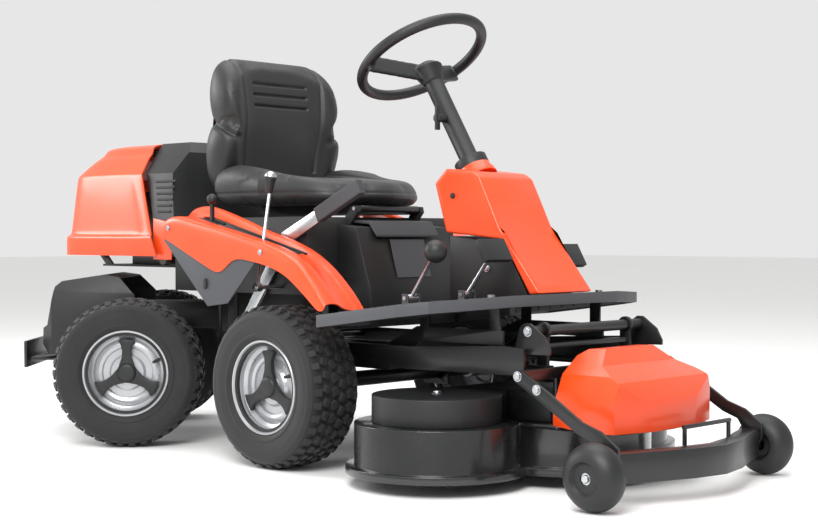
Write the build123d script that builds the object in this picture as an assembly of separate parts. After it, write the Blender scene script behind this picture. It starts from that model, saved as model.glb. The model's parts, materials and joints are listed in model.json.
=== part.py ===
from build123d import *

import math
import os

# Ride-on articulated mower with an out-front cutting deck. Millimetres, +X forward, +Y to the
# machine's left, +Z up. Everything is laid out from the ground point under the front axle; the
# finished solids are then moved so that the origin is the centre of the machine's footprint.

# ---- driving dimensions -----------------------------------------------------------------------
TYRE_R = 200.0
TYRE_W = 165.0
RIM_SEAT_R = 101.0
RIM_FLANGE_R = 116.0
RIM_HALF_W = 70.0
RIM_WALL = 3.0
FRONT_TRACK = 734.0
REAR_TRACK = 618.0
PIVOT_X = -630.0
REAR_AXLE_BACK = 249.0
CARRIAGE_YAW = 43.8
AXLE_R = 12.5
RUNNING_GAP = 0.05
SEAT_GAP = 0.3
PLASTIC_WALL = 4.0
PLATE = 6.0

RAIL_HALF = 196.0
RAIL_LOW = 240.0
RAIL_HIGH = 310.0
RAIL_FRONT = 560.0
RAIL_REAR = -460.0
RAIL_STEP = 200.0
RAIL_RISE = 8.0
PIVOT_PIN_R = 20.0
HEAD_TUBE_R = 35.0
HEAD_LOW = 240.0
HEAD_HIGH = 390.0
LUG_THICK = 20.0
ENGINE_PLATE_Z = 478.0

FLOOR_FRONT = 597.0
FLOOR_REAR = 195.0
FLOOR_HALF = 440.0
FLOOR_Z0 = 360.0
FLOOR_SLOPE = 0.124
FLOOR_BAND = 30.0

FENDER_OUT = 436.0
FENDER_IN = 300.0
PLINTH_HALF = 275.0
PLINTH_LOW = 420.0
PLINTH_REAR = -550.0
PLINTH_FRONT = -12.0

WHEEL_CENTRE = (125.0, 0.0, 1028.0)
WHEEL_R = 180.0
WHEEL_TUBE_R = 14.0
COLUMN_TILT = 31.4
COLUMN_R = 24.0
COLLAR_R = 42.0
COLLAR_LOW = 356.0
SHAFT_R = 10.0
SHAFT_LOW = 495.0
HUB_DROP = 50.0

HOOD_HINGE = (-1080.0, 530.0)
HOOD_EAR_Y = 156.0
HOOD_MOUTH = 296.0
GRILLE_HALF = 78.0
GRILLE_DEPTH = 6.0
SEAT_HINGE = (5.0, 640.0)
CUSHION_LOW = 652.0
SEAT_JOINT_X = -442.0
HINGE_PIN_R = 5.0
BOLT_HEAD_R = 9.0

LIFT_PIVOT = (90.0, 290.0)
LIFT_PIN_R = 8.0
LEVER_PIVOT = (-280.0, 290.0)
LEVER_Y = 287.5
LEVER_THICK = 8.0
LEVER_BASE = (-65.0, 566.0)
LEVER_TIP = (190.0, 690.0)
LEVER_GRIP_BACK = (40.0, 620.0)
HEIGHT_PIVOT = (-105.0, 440.0)
HEIGHT_Y = 360.0
HEIGHT_KNOB = (-58.0, 705.0)
HEIGHT_ROD_R = 4.0
THROTTLE = (-285.0, 597.0)
THROTTLE_Y = 360.0

BEAM_Y = 236.0
BEAM_THICK = 8.0
QUAD_Y = 216.0
CROSS_TUBE = (650.0, 355.0)
CROSS_TUBE_R = 12.5
GUIDE_Y = 160.0
GUIDE_Z = 262.0
GUIDE_R = 9.0
GUIDE_REAR = 310.0
CROSS_BAR_X = 683.0
ARM_Y = 284.0
POST_X = 680.0
POST_Y = 150.0
POST_R = 8.0

BLADE_R = 165.0
SPINDLES = {"right": (450.0, -300.0), "centre": (605.0, 0.0), "left": (450.0, 300.0)}
LOBE_R = 190.0
LIP_R = 210.0
DECK_LIP_Z = 30.0
DECK_STEP_Z = 48.0
DECK_TOP_Z = 145.0
DECK_WALL = 3.0
COVER_LOW_Z = 140.0
DRUM_R = 150.0
DRUM_TOP_Z = 208.0
BLADE_Z = 44.0
BLADE_THICK = 4.0
SPINDLE_R = 10.0
PULLEY_R = 55.0

GAUGE_X = 925.5
GAUGE_Y = 341.0
GAUGE_R = 73.0
GAUGE_HALF_W = 39.0
GAUGE_AXLE_R = 8.0

COVER_HALF = 190.0
TOW_HOLE_R = 8.0
TOW_PLATE = 8.0
TOW_HOLE_BACK = 548.0
TOW_Z = 215.0


# ---- helpers ----------------------------------------------------------------------------------
def prism_y(points, y_low, y_high):
    """Solid whose outline in the XZ plane is points, between two values of Y."""
    face = make_face(Polyline(*[(x, 0, z) for x, z in points], close=True))
    return Pos(0, y_low, 0) * extrude(face, amount=y_high - y_low, dir=(0, 1, 0))


def prism_x(points, x_low, x_high):
    """Solid whose outline in the YZ plane is points, between two values of X."""
    face = make_face(Polyline(*[(0, y, z) for y, z in points], close=True))
    return Pos(x_low, 0, 0) * extrude(face, amount=x_high - x_low, dir=(1, 0, 0))


def prism_z(points, z_low, z_high):
    """Solid whose outline in the XY plane is points, between two values of Z."""
    face = make_face(Polyline(*[(x, y, 0) for x, y in points], close=True))
    return Pos(0, 0, z_low) * extrude(face, amount=z_high - z_low, dir=(0, 0, 1))


def block(x, y, z):
    """Box between (low, high) pairs on the three axes."""
    size = [pair[1] - pair[0] for pair in (x, y, z)]
    centre = [(pair[1] + pair[0]) / 2 for pair in (x, y, z)]
    return Pos(*centre) * Box(*size)


def rod_y(x, z, radius, y_low, y_high):
    """Cylinder along Y."""
    return Pos(x, (y_low + y_high) / 2, z) * Rot(90, 0, 0) * Cylinder(radius, y_high - y_low)


def rod_z(x, y, radius, z_low, z_high):
    """Cylinder along Z."""
    return Pos(x, y, (z_low + z_high) / 2) * Cylinder(radius, z_high - z_low)


def rod_x(y, z, radius, x_low, x_high):
    """Cylinder along X."""
    return Pos((x_low + x_high) / 2, y, z) * Rot(0, 90, 0) * Cylinder(radius, x_high - x_low)


def bar_between(start, end, radius):
    """Cylinder from one point to another."""
    line = Vector(*end) - Vector(*start)
    place = Plane(origin=start, z_dir=line)
    return place * Pos(0, 0, line.length / 2) * Cylinder(radius, line.length)


def shrink(points, wall):
    """Outline moved inwards by a wall thickness, as a list of points."""
    area = sum(a[0] * b[1] - b[0] * a[1] for a, b in zip(points, points[1:] + points[:1]))
    turn = 1 if area > 0 else -1
    inner = []
    count = len(points)
    for i in range(count):
        (ax, ay), (bx, by), (cx, cy) = points[i - 1], points[i], points[(i + 1) % count]
        d1 = math.hypot(bx - ax, by - ay)
        d2 = math.hypot(cx - bx, cy - by)
        n1 = (-(by - ay) / d1 * turn, (bx - ax) / d1 * turn)
        n2 = (-(cy - by) / d2 * turn, (cx - bx) / d2 * turn)
        scale = wall / max(0.2, 1 + n1[0] * n2[0] + n1[1] * n2[1])
        inner.append((bx + (n1[0] + n2[0]) * scale, by + (n1[1] + n2[1]) * scale))
    return inner


def carve(side, plan, front, inset=0.0):
    """Body cut from a side (XZ), a plan (XY) and a front (YZ) outline, each moved in by inset."""
    if inset:
        side, plan, front = shrink(side, inset), shrink(plan, inset), shrink(front, inset)
    xs = [p[0] for p in plan]
    ys = [p[1] for p in plan]
    zs = [p[1] for p in side]
    body = prism_y(side, min(ys) - 1, max(ys) + 1)
    body &= prism_z(plan, min(zs) - 1, max(zs) + 1)
    body &= prism_x(front, min(xs) - 1, max(xs) + 1)
    return body


def moulding(side, plan, front, wall, open_ways):
    """Thin-walled carve, left open on the sides that open_ways point to."""
    body = carve(side, plan, front)
    inner = carve(side, plan, front, wall)
    body -= inner
    for way in open_ways:
        body -= Pos(*[wall * 2 * step for step in way]) * inner
    return body


def mirrored(points):
    """Half outline, from front to back on one side, closed by its mirror image across Y = 0."""
    return points + [(x, -y) for x, y in reversed(points)]


def front_outline(half):
    """YZ outline from its right half, listed from bottom to top with positive widths."""
    return [(y, z) for y, z in half] + [(-y, z) for y, z in reversed(half)]


def floor_top(x):
    """Height of the footplate's top face at a place along the machine."""
    return FLOOR_Z0 + FLOOR_SLOPE * x


def flip_side(shape):
    """Mirror image on the other side of the machine."""
    return mirror(shape, about=Plane.XZ)


def column_point(distance):
    """Point on the steering column's axis, measured down from the steering wheel's centre."""
    tilt = math.radians(COLUMN_TILT)
    x, y, z = WHEEL_CENTRE
    return (x + distance * math.sin(tilt), y, z - distance * math.cos(tilt))


def column_plane(distance):
    """Plane square to the steering column, with its normal up the column."""
    tilt = math.radians(COLUMN_TILT)
    normal = (-math.sin(tilt), 0, math.cos(tilt))
    return Plane(origin=column_point(distance), x_dir=(0, 1, 0), z_dir=normal)


# ---- road wheels ------------------------------------------------------------------------------
def tyre():
    """Tyre with its air space; the outer side faces -Y."""
    half = TYRE_W / 2
    bead = RIM_HALF_W - 4 - SEAT_GAP
    outline = [
        (RIM_SEAT_R + SEAT_GAP, -bead), (RIM_FLANGE_R + 2, -bead), (135, -half + 3), (165, -half),
        (186, -half + 6), (TYRE_R - 3, -half + 22), (TYRE_R, -25), (TYRE_R, 25),
        (TYRE_R - 3, half - 22), (186, half - 6), (165, half), (135, half - 3),
        (RIM_FLANGE_R + 2, bead), (RIM_SEAT_R + SEAT_GAP, bead),
        (RIM_SEAT_R + SEAT_GAP, bead - 14), (125, half - 22), (168, half - 16),
        (183, half - 34), (183, -half + 34), (168, -half + 16), (125, -half + 22),
        (RIM_SEAT_R + SEAT_GAP, -bead + 14),
    ]
    face = make_face(Polyline(*[(r, y, 0) for r, y in outline], close=True))
    return revolve(face, axis=Axis.Y, revolution_arc=360)


def tube_y(outer, inner, y_low, y_high):
    """Ring along Y about the origin."""
    return rod_y(0, 0, outer, y_low, y_high) - rod_y(0, 0, inner, y_low - 1, y_high + 1)


def rim(bore_r):
    """Pressed steel rim with its disc and hub; the outer side faces -Y."""
    barrel_r = RIM_SEAT_R
    body = tube_y(barrel_r, barrel_r - RIM_WALL, -RIM_HALF_W, RIM_HALF_W)
    body += tube_y(RIM_FLANGE_R, barrel_r - 1, -RIM_HALF_W, -RIM_HALF_W + 4)
    body += tube_y(RIM_FLANGE_R, barrel_r - 1, RIM_HALF_W - 4, RIM_HALF_W)
    body += tube_y(barrel_r - 1, bore_r + 8, -38, -34)
    body += tube_y(24, bore_r, -40, 45)
    return body


def wheel_trim():
    """Three-spoke hub cover with a round cap; the outer side faces -Y."""
    body = rod_y(0, 0, 27, -60, -40 - SEAT_GAP)
    spoke = prism_y([(-24, 10), (24, 10), (13, 88), (-13, 88)], -50, -38 - SEAT_GAP)
    spoke -= rod_y(0, 0, 25, -41, -37)
    for turn in range(3):
        body += Rot(0, 30 + 120 * turn, 0) * spoke
    return body


def drive_shaft():
    """Rear half shaft, from inside the transaxle to the hub, in the wheel's frame."""
    return rod_y(0, 0, AXLE_R, -40, REAR_TRACK / 2 - 100)


# ---- front chassis ----------------------------------------------------------------------------
def main_frame():
    """Welded frame: side rails, axle hangers, articulation lugs, engine plate, pins and front rails."""
    rail_in = RAIL_HALF - PLATE
    body = block((RAIL_REAR, RAIL_REAR + 10), (-RAIL_HALF, RAIL_HALF), (215, 415))
    body += block((180, 190), (-RAIL_HALF, RAIL_HALF), (RAIL_LOW, RAIL_HIGH))
    for side in (-1, 1):
        y_pair = sorted((side * rail_in, side * RAIL_HALF))
        rail = block((RAIL_REAR, RAIL_STEP), y_pair, (RAIL_LOW, RAIL_HIGH))
        hanger = block((-45, 45), y_pair, (165, RAIL_LOW + 5))
        body += rail + hanger
        body -= rod_y(0, 200, 20 + SEAT_GAP, *y_pair)
        for post_x in (-420, -60):
            body += block((post_x, post_x + 40), y_pair, (RAIL_HIGH - 5, PLINTH_LOW - PLATE))
            foot = sorted((side * (rail_in - 30), side * RAIL_HALF))
            body += block((post_x, post_x + 40), foot, (PLINTH_LOW - PLATE, PLINTH_LOW - SEAT_GAP))
        riser = [(RAIL_REAR + 5, 380), (RAIL_REAR + 5, 415), (-640, 484), (-700, 484), (-700, ENGINE_PLATE_Z),
                 (-650, 470)]
        riser_pair = sorted((side * 134, side * 140))
        body += prism_y(riser, *riser_pair)
        pin = sorted((side * rail_in, side * (BEAM_Y + BEAM_THICK + 6)))
        body += rod_y(LIFT_PIVOT[0], LIFT_PIVOT[1], LIFT_PIN_R, *pin)
    body += block((-1040, -660), (-170, 170), (ENGINE_PLATE_Z, ENGINE_PLATE_Z + PLATE))
    body += rod_y(LEVER_PIVOT[0], LEVER_PIVOT[1], LIFT_PIN_R, -LEVER_Y - 12, RAIL_HALF)
    hx, hz = HOOD_HINGE
    body += rod_y(hx, hz, HINGE_PIN_R, -HOOD_EAR_Y - 34, HOOD_EAR_Y + 34)
    bracket = [(-1040, ENGINE_PLATE_Z), (-1010, ENGINE_PLATE_Z + PLATE), (hx + 8, hz + 10), (hx - 8, hz + 10),
               (hx - 8, hz - 10)]
    for y in (-HOOD_EAR_Y, HOOD_EAR_Y - PLATE):
        body += prism_y(bracket, y, y + PLATE)
    for low in (HEAD_LOW - 5 - LUG_THICK, HEAD_HIGH + 5):
        lug = block((PIVOT_X, RAIL_REAR + 2), (-40, 40), (low, low + LUG_THICK))
        lug += rod_z(PIVOT_X, 0, 40, low, low + LUG_THICK)
        body += lug
    body -= rod_z(PIVOT_X, 0, PIVOT_PIN_R + RUNNING_GAP, 150, ENGINE_PLATE_Z - 10)
    return Compound(children=[body, front_rail(-1), front_rail(1)])


def front_rail(side):
    """Rail under the floor, stepped up over the deck, with a post below each row of floor bolts."""
    y_pair = sorted((side * (RAIL_HALF - PLATE), side * RAIL_HALF))
    high_low, high_top = RAIL_HIGH + RAIL_RISE, RAIL_HIGH + RAIL_RISE + 34
    outline = [(RAIL_STEP, RAIL_LOW + 22), (RAIL_STEP, RAIL_HIGH), (RAIL_STEP + 90, high_top),
               (RAIL_FRONT, high_top), (RAIL_FRONT, high_low), (RAIL_STEP + 110, high_low)]
    rail = prism_y(outline, *y_pair)
    for post_x in (300, 520):
        top = floor_top(post_x) - PLASTIC_WALL * 1.2 - SEAT_GAP
        rail += block((post_x, post_x + 30), y_pair, (high_top - 5, top))
    return rail


def front_axle():
    """Fixed front axle tube with a stub for each wheel."""
    stub_end = FRONT_TRACK / 2 + 40
    body = rod_y(0, 200, 20, -FRONT_TRACK / 2 + 52, FRONT_TRACK / 2 - 52)
    body += rod_y(0, 200, AXLE_R, -stub_end, stub_end)
    return body


def frame_fasteners():
    """Articulation pin, pedal and seat hinge pins, height lever pin and floor bolts."""
    pieces = []
    pin = rod_z(PIVOT_X, 0, PIVOT_PIN_R, HEAD_LOW - 5 - LUG_THICK - 8, HEAD_HIGH + 5 + LUG_THICK)
    pin += rod_z(PIVOT_X, 0, 32, HEAD_HIGH + 5 + LUG_THICK + SEAT_GAP, HEAD_HIGH + LUG_THICK + 13)
    pieces.append(pin)
    for x, y, z in PEDAL_PIVOTS.values():
        pieces.append(rod_y(x, z, HINGE_PIN_R, y - 24, y + 24))
    pieces.append(rod_y(SEAT_HINGE[0], SEAT_HINGE[1], HINGE_PIN_R, -130, 130))
    pieces.append(rod_y(*HEIGHT_PIVOT, HINGE_PIN_R, -HEIGHT_Y - 14, -PLINTH_HALF - SEAT_GAP))
    for side in (-1, 1):
        for x in (315, 535):
            y = side * (RAIL_HALF + 12)
            seat = floor_top(x + BOLT_HEAD_R) + SEAT_GAP
            pieces.append(rod_z(x, y, BOLT_HEAD_R, seat, seat + 7))
    return Compound(children=pieces)


def footplate():
    """Moulded floor: a top skin with a deep edge band, and ears for the pedal pins."""
    half = [(FLOOR_FRONT, 200), (556, 300), (516, 400), (450, FLOOR_HALF), (FLOOR_REAR, FLOOR_HALF),
            (FLOOR_REAR, 270), (0, 270)]
    plan = mirrored([(x, -y) for x, y in half])
    side = [(0, floor_top(0) - FLOOR_BAND), (0, floor_top(0)), (FLOOR_FRONT + 2, floor_top(FLOOR_FRONT + 2)),
            (FLOOR_FRONT + 2, floor_top(FLOOR_FRONT) - FLOOR_BAND + 4)]
    top = floor_top(FLOOR_FRONT)
    front = [(-FLOOR_HALF - 1, 300), (-FLOOR_HALF - 1, top + 1), (FLOOR_HALF + 1, top + 1),
             (FLOOR_HALF + 1, 300)]
    body = moulding(side, plan, front, PLASTIC_WALL * 1.2, [(0, 0, -1)])
    for x, y, z in PEDAL_PIVOTS.values():
        for ear_y in (y - 22, y + 18):
            ear = block((x - 9, x + 9), (ear_y, ear_y + 4), (floor_top(x) - 4, z + 10))
            body += ear
        body -= rod_y(x, z, HINGE_PIN_R + SEAT_GAP, y - 25, y + 25)
    return body


FENDER_TOP = [(-410, 640), (-342, 636), (-247, 618), (-137, 592), (-20, 560), (70, 530), (125, 500),
              (175, 452), (228, floor_top(228) + SEAT_GAP)]
FENDER_LOW = [(202, floor_top(202) + SEAT_GAP), (172, 411), (133, 443), (84, 475), (33, 495), (-47, 509), (-103, 517), (-166, 474),
              (-235, 500), (-375, 556)]


def fender_right():
    """Orange fender: top skin, outer wall, lever slot and the throttle's ears."""
    wall = PLASTIC_WALL
    body = prism_y(FENDER_TOP + FENDER_LOW, -FENDER_OUT, -FENDER_IN)
    below = [(x - 2, z - wall) for x, z in FENDER_TOP] + [(210, 300), (-430, 300)]
    body -= prism_y(below, -FENDER_OUT + wall, -FENDER_IN + 1)
    bevel = prism_x([(-FENDER_OUT - 5, 700), (-FENDER_OUT - 5, 560), (-FENDER_OUT + 40, 700)], -450, -100)
    body -= bevel
    body -= block((-205, 60), (-HEIGHT_Y - 7, -HEIGHT_Y + 7), (480, 700))
    body -= block((-318, -252), (-THROTTLE_Y - 9, -THROTTLE_Y + 9), (560, 700))
    for y in (-THROTTLE_Y - 15, -THROTTLE_Y + 11):
        body += block((THROTTLE[0] - 9, THROTTLE[0] + 9), (y, y + 4), (THROTTLE[1] - 8, 624))
    body -= rod_y(*THROTTLE, HINGE_PIN_R + RUNNING_GAP, -THROTTLE_Y - 20, -THROTTLE_Y + 20)
    return body


def fender_left():
    """Mirror fender without the lever slots."""
    wall = PLASTIC_WALL
    body = prism_y(FENDER_TOP + FENDER_LOW, FENDER_IN, FENDER_OUT)
    below = [(x - 2, z - wall) for x, z in FENDER_TOP] + [(210, 300), (-430, 300)]
    body -= prism_y(below, FENDER_IN - 1, FENDER_OUT - wall)
    bevel = prism_x([(FENDER_OUT + 5, 700), (FENDER_OUT + 5, 560), (FENDER_OUT - 40, 700)], -450, -100)
    return body - bevel


def fender_skirts():
    """Dark skirts below the fenders, one on each side."""
    outline = [(-398, 560), (-217, 391), (-138, 401), (-34, 504), (-34, 520), (-120, 560), (-340, 590)]
    out = FENDER_OUT - PLASTIC_WALL - SEAT_GAP
    skirt = prism_y(outline, -out, -out + 5)
    return Compound(children=[skirt, flip_side(skirt)])


def seat_plinth():
    """Black housing under the seat, open below, with lugs for the seat hinge pin."""
    side = [(PLINTH_REAR, PLINTH_LOW), (PLINTH_REAR, 612), (-300, 618), (PLINTH_FRONT - 8, 618),
            (PLINTH_FRONT, 600), (PLINTH_FRONT, PLINTH_LOW)]
    plan = [(PLINTH_REAR, -PLINTH_HALF), (PLINTH_FRONT, -PLINTH_HALF), (PLINTH_FRONT, PLINTH_HALF),
            (PLINTH_REAR, PLINTH_HALF)]
    front = front_outline([(-PLINTH_HALF, PLINTH_LOW - 1), (-PLINTH_HALF, 575), (-PLINTH_HALF + 25, 619)])
    body = moulding(side, plan, front, PLASTIC_WALL, [(0, 0, -1)])
    for y in (-137, 137):
        body -= block((PLINTH_REAR - 10, PLINTH_REAR + 10), (y - 5, y + 5), (PLINTH_LOW - 5, 475))
    for y in (-126, 114):
        body += prism_y([(-30, 610), (-30, 622), (-6, 648), (12, 647), (16, 632), (-12, 600)], y, y + 12)
    body -= rod_y(*SEAT_HINGE, HINGE_PIN_R + SEAT_GAP, -140, 140)
    return body


def floor_console():
    """Two black mouldings on the floor: the centre console and the pedal box under the cowl."""
    low = floor_top(0) + 1
    rear = PLINTH_FRONT + SEAT_GAP
    console_side = [(rear, low), (rear, 598), (52, 592), (104, 440), (112, floor_top(112) + 1)]
    console = prism_y(console_side, -170, 170)
    console -= prism_y([(-5, low - 20), (-5, 590), (47, 586), (98, 438), (105, low - 20)], -165, 165)
    box_side = [(300, floor_top(300) + 1), (300, 570), (474, 555), (545, floor_top(545) + 1)]
    box = prism_y(box_side, -88, 88)
    box -= prism_y([(305, 380), (305, 565), (471, 550), (535, 380)], -84, 84)
    return Compound(children=[console, box])


def steering_bore(radius):
    """Clear way for the steering shaft, from the wheel's hub down to its lower end."""
    return column_plane(560) * Pos(0, 0, 280) * Cylinder(radius, 560)


COWL_SIDE = [(262, 700), (300, 736), (386, 726), (408, 712), (470, 590), (596, floor_top(596) + SEAT_GAP),
             (560, floor_top(560) + SEAT_GAP), (478, 562),
             (300, 578)]


def steering_cowl():
    """Orange cowl at the foot of the column, a thin shell open below and behind."""
    plan = [(255, -92), (300, -104), (480, -104), (600, -100), (600, 100), (480, 104), (300, 104),
            (255, 92)]
    front = front_outline([(-106, 430), (-106, 600), (-92, 700), (-70, 740)])
    body = carve(COWL_SIDE, plan, front)
    inner_side = [(272, 560), (270, 698), (303, 730), (384, 720), (404, 708), (464, 588), (566, 462),
                  (560, 430), (478, 545)]
    inner = carve(inner_side, shrink(plan, PLASTIC_WALL), shrink(front, PLASTIC_WALL))
    body -= inner
    body -= column_plane(COLLAR_LOW) * Pos(0, 0, 30) * Cylinder(COLLAR_R + SEAT_GAP, 60)
    body -= steering_bore(COLUMN_R + SEAT_GAP)
    return body


def column_tube():
    """Black steering column tube with its collar, seated in the cowl."""
    body = column_plane(420) * Pos(0, 0, 170) * Cylinder(COLUMN_R, 340)
    body += column_plane(COLLAR_LOW - SEAT_GAP) * Pos(0, 0, 20) * Cylinder(COLLAR_R, 40)
    body -= steering_bore(SHAFT_R + RUNNING_GAP)
    body -= rod_y(*KNOB_PIN[:2], HINGE_PIN_R + RUNNING_GAP, -40, 0)
    return body


KNOB_PIN = (column_point(190)[0] + 2, column_point(190)[2], 0)


def tilt_knob():
    """Small T-shaped clamp knob on the side of the column."""
    x, z = KNOB_PIN[0], KNOB_PIN[1]
    body = rod_y(x, z, HINGE_PIN_R, -52, -COLUMN_R + 8)
    body += rod_y(x, z, 11, -56, -COLUMN_R - 2)
    body += block((x - 4, x + 4), (-58, -46), (z - 30, z + 30))
    return body


def engine():
    """Vertical-shaft engine: crankcase, cylinder, blower housing and air cleaner."""
    base = ENGINE_PLATE_Z + PLATE + SEAT_GAP
    body = block((-960, -760), (-120, 120), (base, 600))
    body += block((-1000, -900), (-70, 70), (520, 620))
    body += rod_z(-860, 0, 125, 598, 700)
    body += rod_z(-860, 0, 60, 698, 722)
    body += block((-800, -720), (-90, 90), (600, 680))
    return body


def muffler():
    """Exhaust silencer and its outlet below the hood's side."""
    low = ENGINE_PLATE_Z + PLATE + SEAT_GAP
    body = block((-735, -675), (-150, 60), (low, low + 66))
    body += rod_y(-705, low + 20, 18, -200, -148)
    return body


def fuel_tank():
    """Moulded tank inside the plinth with its filler neck."""
    body = block((-440, -262), (-230, 230), (PLINTH_LOW, 560))
    body += rod_z(-400, 180, 28, 555, 590)
    return body


def battery():
    """Starter battery with two terminals."""
    low = PLINTH_LOW
    body = block((-200, -30), (-190, -60), (low, low + 130))
    for x in (-175, -55):
        body += rod_z(x, -150, 8, low + 129, low + 142)
    return body


def engine_surround():
    """Black casing with the side intakes, between the seat and the hood."""
    side = [(-594, 512), (-704, 727), (-782, 838), (-650, 838), (-608, 806), (-582, 700), (-554, 620),
            (PLINTH_REAR - SEAT_GAP, 611), (PLINTH_REAR - SEAT_GAP, 512)]
    plan = [(-800, -286), (-549, -286), (-549, 286), (-800, 286)]
    front = front_outline([(-281, 505), (-281, 600), (-249, 745), (-187, 800), (-138, 839)])
    body = moulding(side, plan, front, PLASTIC_WALL, [(0, 0, -1), (-1, 0, 0)])
    return body


# ---- rear carriage, drawn pointing straight back from the pivot --------------------------------
def rear_frame():
    """Head tube, side plates and weight bracket of the articulated carriage."""
    body = rod_z(0, 0, HEAD_TUBE_R, HEAD_LOW, HEAD_HIGH)
    body += block((-80, -20), (-58, 58), (HEAD_LOW + 62, HEAD_HIGH - 10))
    for side in (-1, 1):
        pair = sorted((side * 50, side * 58))
        body += block((-369, -40), pair, (302, HEAD_HIGH - 10))
    body += block((-369, -361), (-160, 160), (222 + TOW_PLATE, 400))
    body -= rod_z(0, 0, PIVOT_PIN_R + RUNNING_GAP, HEAD_LOW - 5, HEAD_HIGH + 5)
    return body


def transaxle():
    """Cast hydrostatic transaxle with an axle tube to each wheel."""
    body = block((-330, -172), (-100, 100), (135, 302 - SEAT_GAP))
    body += block((-310, -190), (-45, 45), (118, 136))
    tube_end = REAR_TRACK / 2 - 90
    body += rod_y(-REAR_AXLE_BACK, 200, 32, -tube_end, tube_end)
    for side in (-1, 1):
        pair = sorted((side * 95, side * (tube_end + 1)))
        body -= rod_y(-REAR_AXLE_BACK, 200, AXLE_R + RUNNING_GAP, *pair)
    return body


def counterweight():
    """Cast-iron ballast behind the rear axle."""
    low = TOW_Z + TOW_PLATE + SEAT_GAP
    half = COVER_HALF - PLASTIC_WALL - SEAT_GAP
    return block((-474, -369 - SEAT_GAP), (-half, half), (low, 398))


def weight_cover():
    """Black shroud over the ballast, open below and in front."""
    side = [(-500, 236), (-522, 262), (-521, 309), (-506, 318), (-481, 427), (-463, 442), (-353, 459),
            (-303, 452), (-258, 404), (-258, 330), (-372, 236)]
    plan = [(-524, -150), (-490, -COVER_HALF), (-256, -COVER_HALF), (-256, COVER_HALF),
            (-490, COVER_HALF), (-524, 150)]
    front = front_outline([(-COVER_HALF - 1, 230), (-COVER_HALF - 1, 410), (-165, 460)])
    return moulding(side, plan, front, PLASTIC_WALL, [(0, 0, -1), (1, 0, 0), (1, 0, -1)])


def tow_bar():
    """Rear bumper with the tow hole, carried under the ballast."""
    body = block((-572, -371), (-120, 120), (TOW_Z, TOW_Z + TOW_PLATE))
    body += block((-573, -565), (-165, 165), (198, 272))
    body -= rod_z(-TOW_HOLE_BACK, 0, TOW_HOLE_R, 150, 300)
    return body


# ---- steering ---------------------------------------------------------------------------------
def steering_wheel():
    """Rim, two dished spokes and a conical hub cover."""
    rim_ring = column_plane(0) * Torus(WHEEL_R - WHEEL_TUBE_R, WHEEL_TUBE_R)
    hub = column_plane(HUB_DROP + 30) * Pos(0, 0, 21) * Cone(26, 40, 42)
    hub += column_plane(HUB_DROP - 14) * Pos(0, 0, 6) * Cone(40, 22, 16)
    body = hub
    for angle in (15, 165):
        ray = math.radians(angle)
        reach = WHEEL_R - WHEEL_TUBE_R
        plane = column_plane(HUB_DROP - 4)
        start = plane.from_local_coords(Vector(20 * math.cos(ray), 20 * math.sin(ray), 0))
        end = plane.from_local_coords(Vector(reach * math.cos(ray), reach * math.sin(ray), HUB_DROP - 6))
        line = end - start
        flat = Plane(origin=start, x_dir=plane.z_dir.cross(line), z_dir=line)
        body += flat * Pos(0, 0, line.length / 2) * Box(12, 46, line.length)
    body -= steering_bore(SHAFT_R + SEAT_GAP)
    return body + rim_ring


def steering_shaft():
    """Steering shaft from the hub down to its pinion inside the cowl."""
    length = SHAFT_LOW - HUB_DROP
    body = column_plane(SHAFT_LOW) * Pos(0, 0, length / 2) * Cylinder(SHAFT_R, length)
    body += column_plane(SHAFT_LOW) * Pos(0, 0, 8) * Cylinder(18, 16)
    return body


# ---- hood -------------------------------------------------------------------------------------
def hood_shell():
    """Orange engine hood, open below and in front."""
    side = [(-1100, 520), (-1100, 620), (-1084, 750), (-1044, 818), (-960, 836), (-802, 842), (-716, 728),
            (-606, 512), (-850, 518)]
    plan = mirrored([(-604, -300), (-1020, -300), (-1070, -275), (-1096, -215), (-1101, -100)])
    front = front_outline([(-301, 508), (-300, 566), (-288, 600), (-268, 748), (-205, 800), (-140, 843)])
    body = moulding(side, plan, front, PLASTIC_WALL, [(0, 0, -1), (1, 0, 0), (1, 0, -1)])
    body -= grille_block(SEAT_GAP, 12)
    body -= block((-640, -590), (-HOOD_MOUTH, HOOD_MOUTH), (500, 530))
    hx, hz = HOOD_HINGE
    for y in sorted((-HOOD_EAR_Y - 32, HOOD_EAR_Y + 4)):
        ear = rod_y(hx, hz, HINGE_PIN_R + 4, y, y + 28) + block((-1096, hx), (y, y + 28), (hz - 9, hz + 9))
        body += ear
    for y in (-HOOD_EAR_Y - SEAT_GAP, HOOD_EAR_Y - PLATE - 4):
        body -= block((-1112, -1086), (y, y + PLATE + 4 + SEAT_GAP), (500, hz + 14))
    body -= rod_y(hx, hz, HINGE_PIN_R + RUNNING_GAP, -250, 250)
    return body


def grille_block(grow, depth):
    """Block on the sloping rear of the hood's roof, wider by grow, for the grille and its opening."""
    low_x, high_x = -1038 - grow, -966 + grow
    slope = (836 - 818) / (1044 - 960)
    low_z, high_z = 818 + slope * (low_x + 1044), 818 + slope * (high_x + 1044)
    rise = 3 if depth > GRILLE_DEPTH else 0
    outline = [(low_x, low_z + rise), (high_x, high_z + rise), (high_x, high_z - depth), (low_x, low_z - depth)]
    return prism_y(outline, -GRILLE_HALF - grow, GRILLE_HALF + grow)


def hood_grille():
    """Dark louvred grille seated in the hood's roof."""
    frame = grille_block(0, GRILLE_DEPTH)
    for x in range(-1032, -975, 12):
        frame -= block((x, x + 6), (-GRILLE_HALF + 8, GRILLE_HALF - 8), (780, 860))
    return frame


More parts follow.
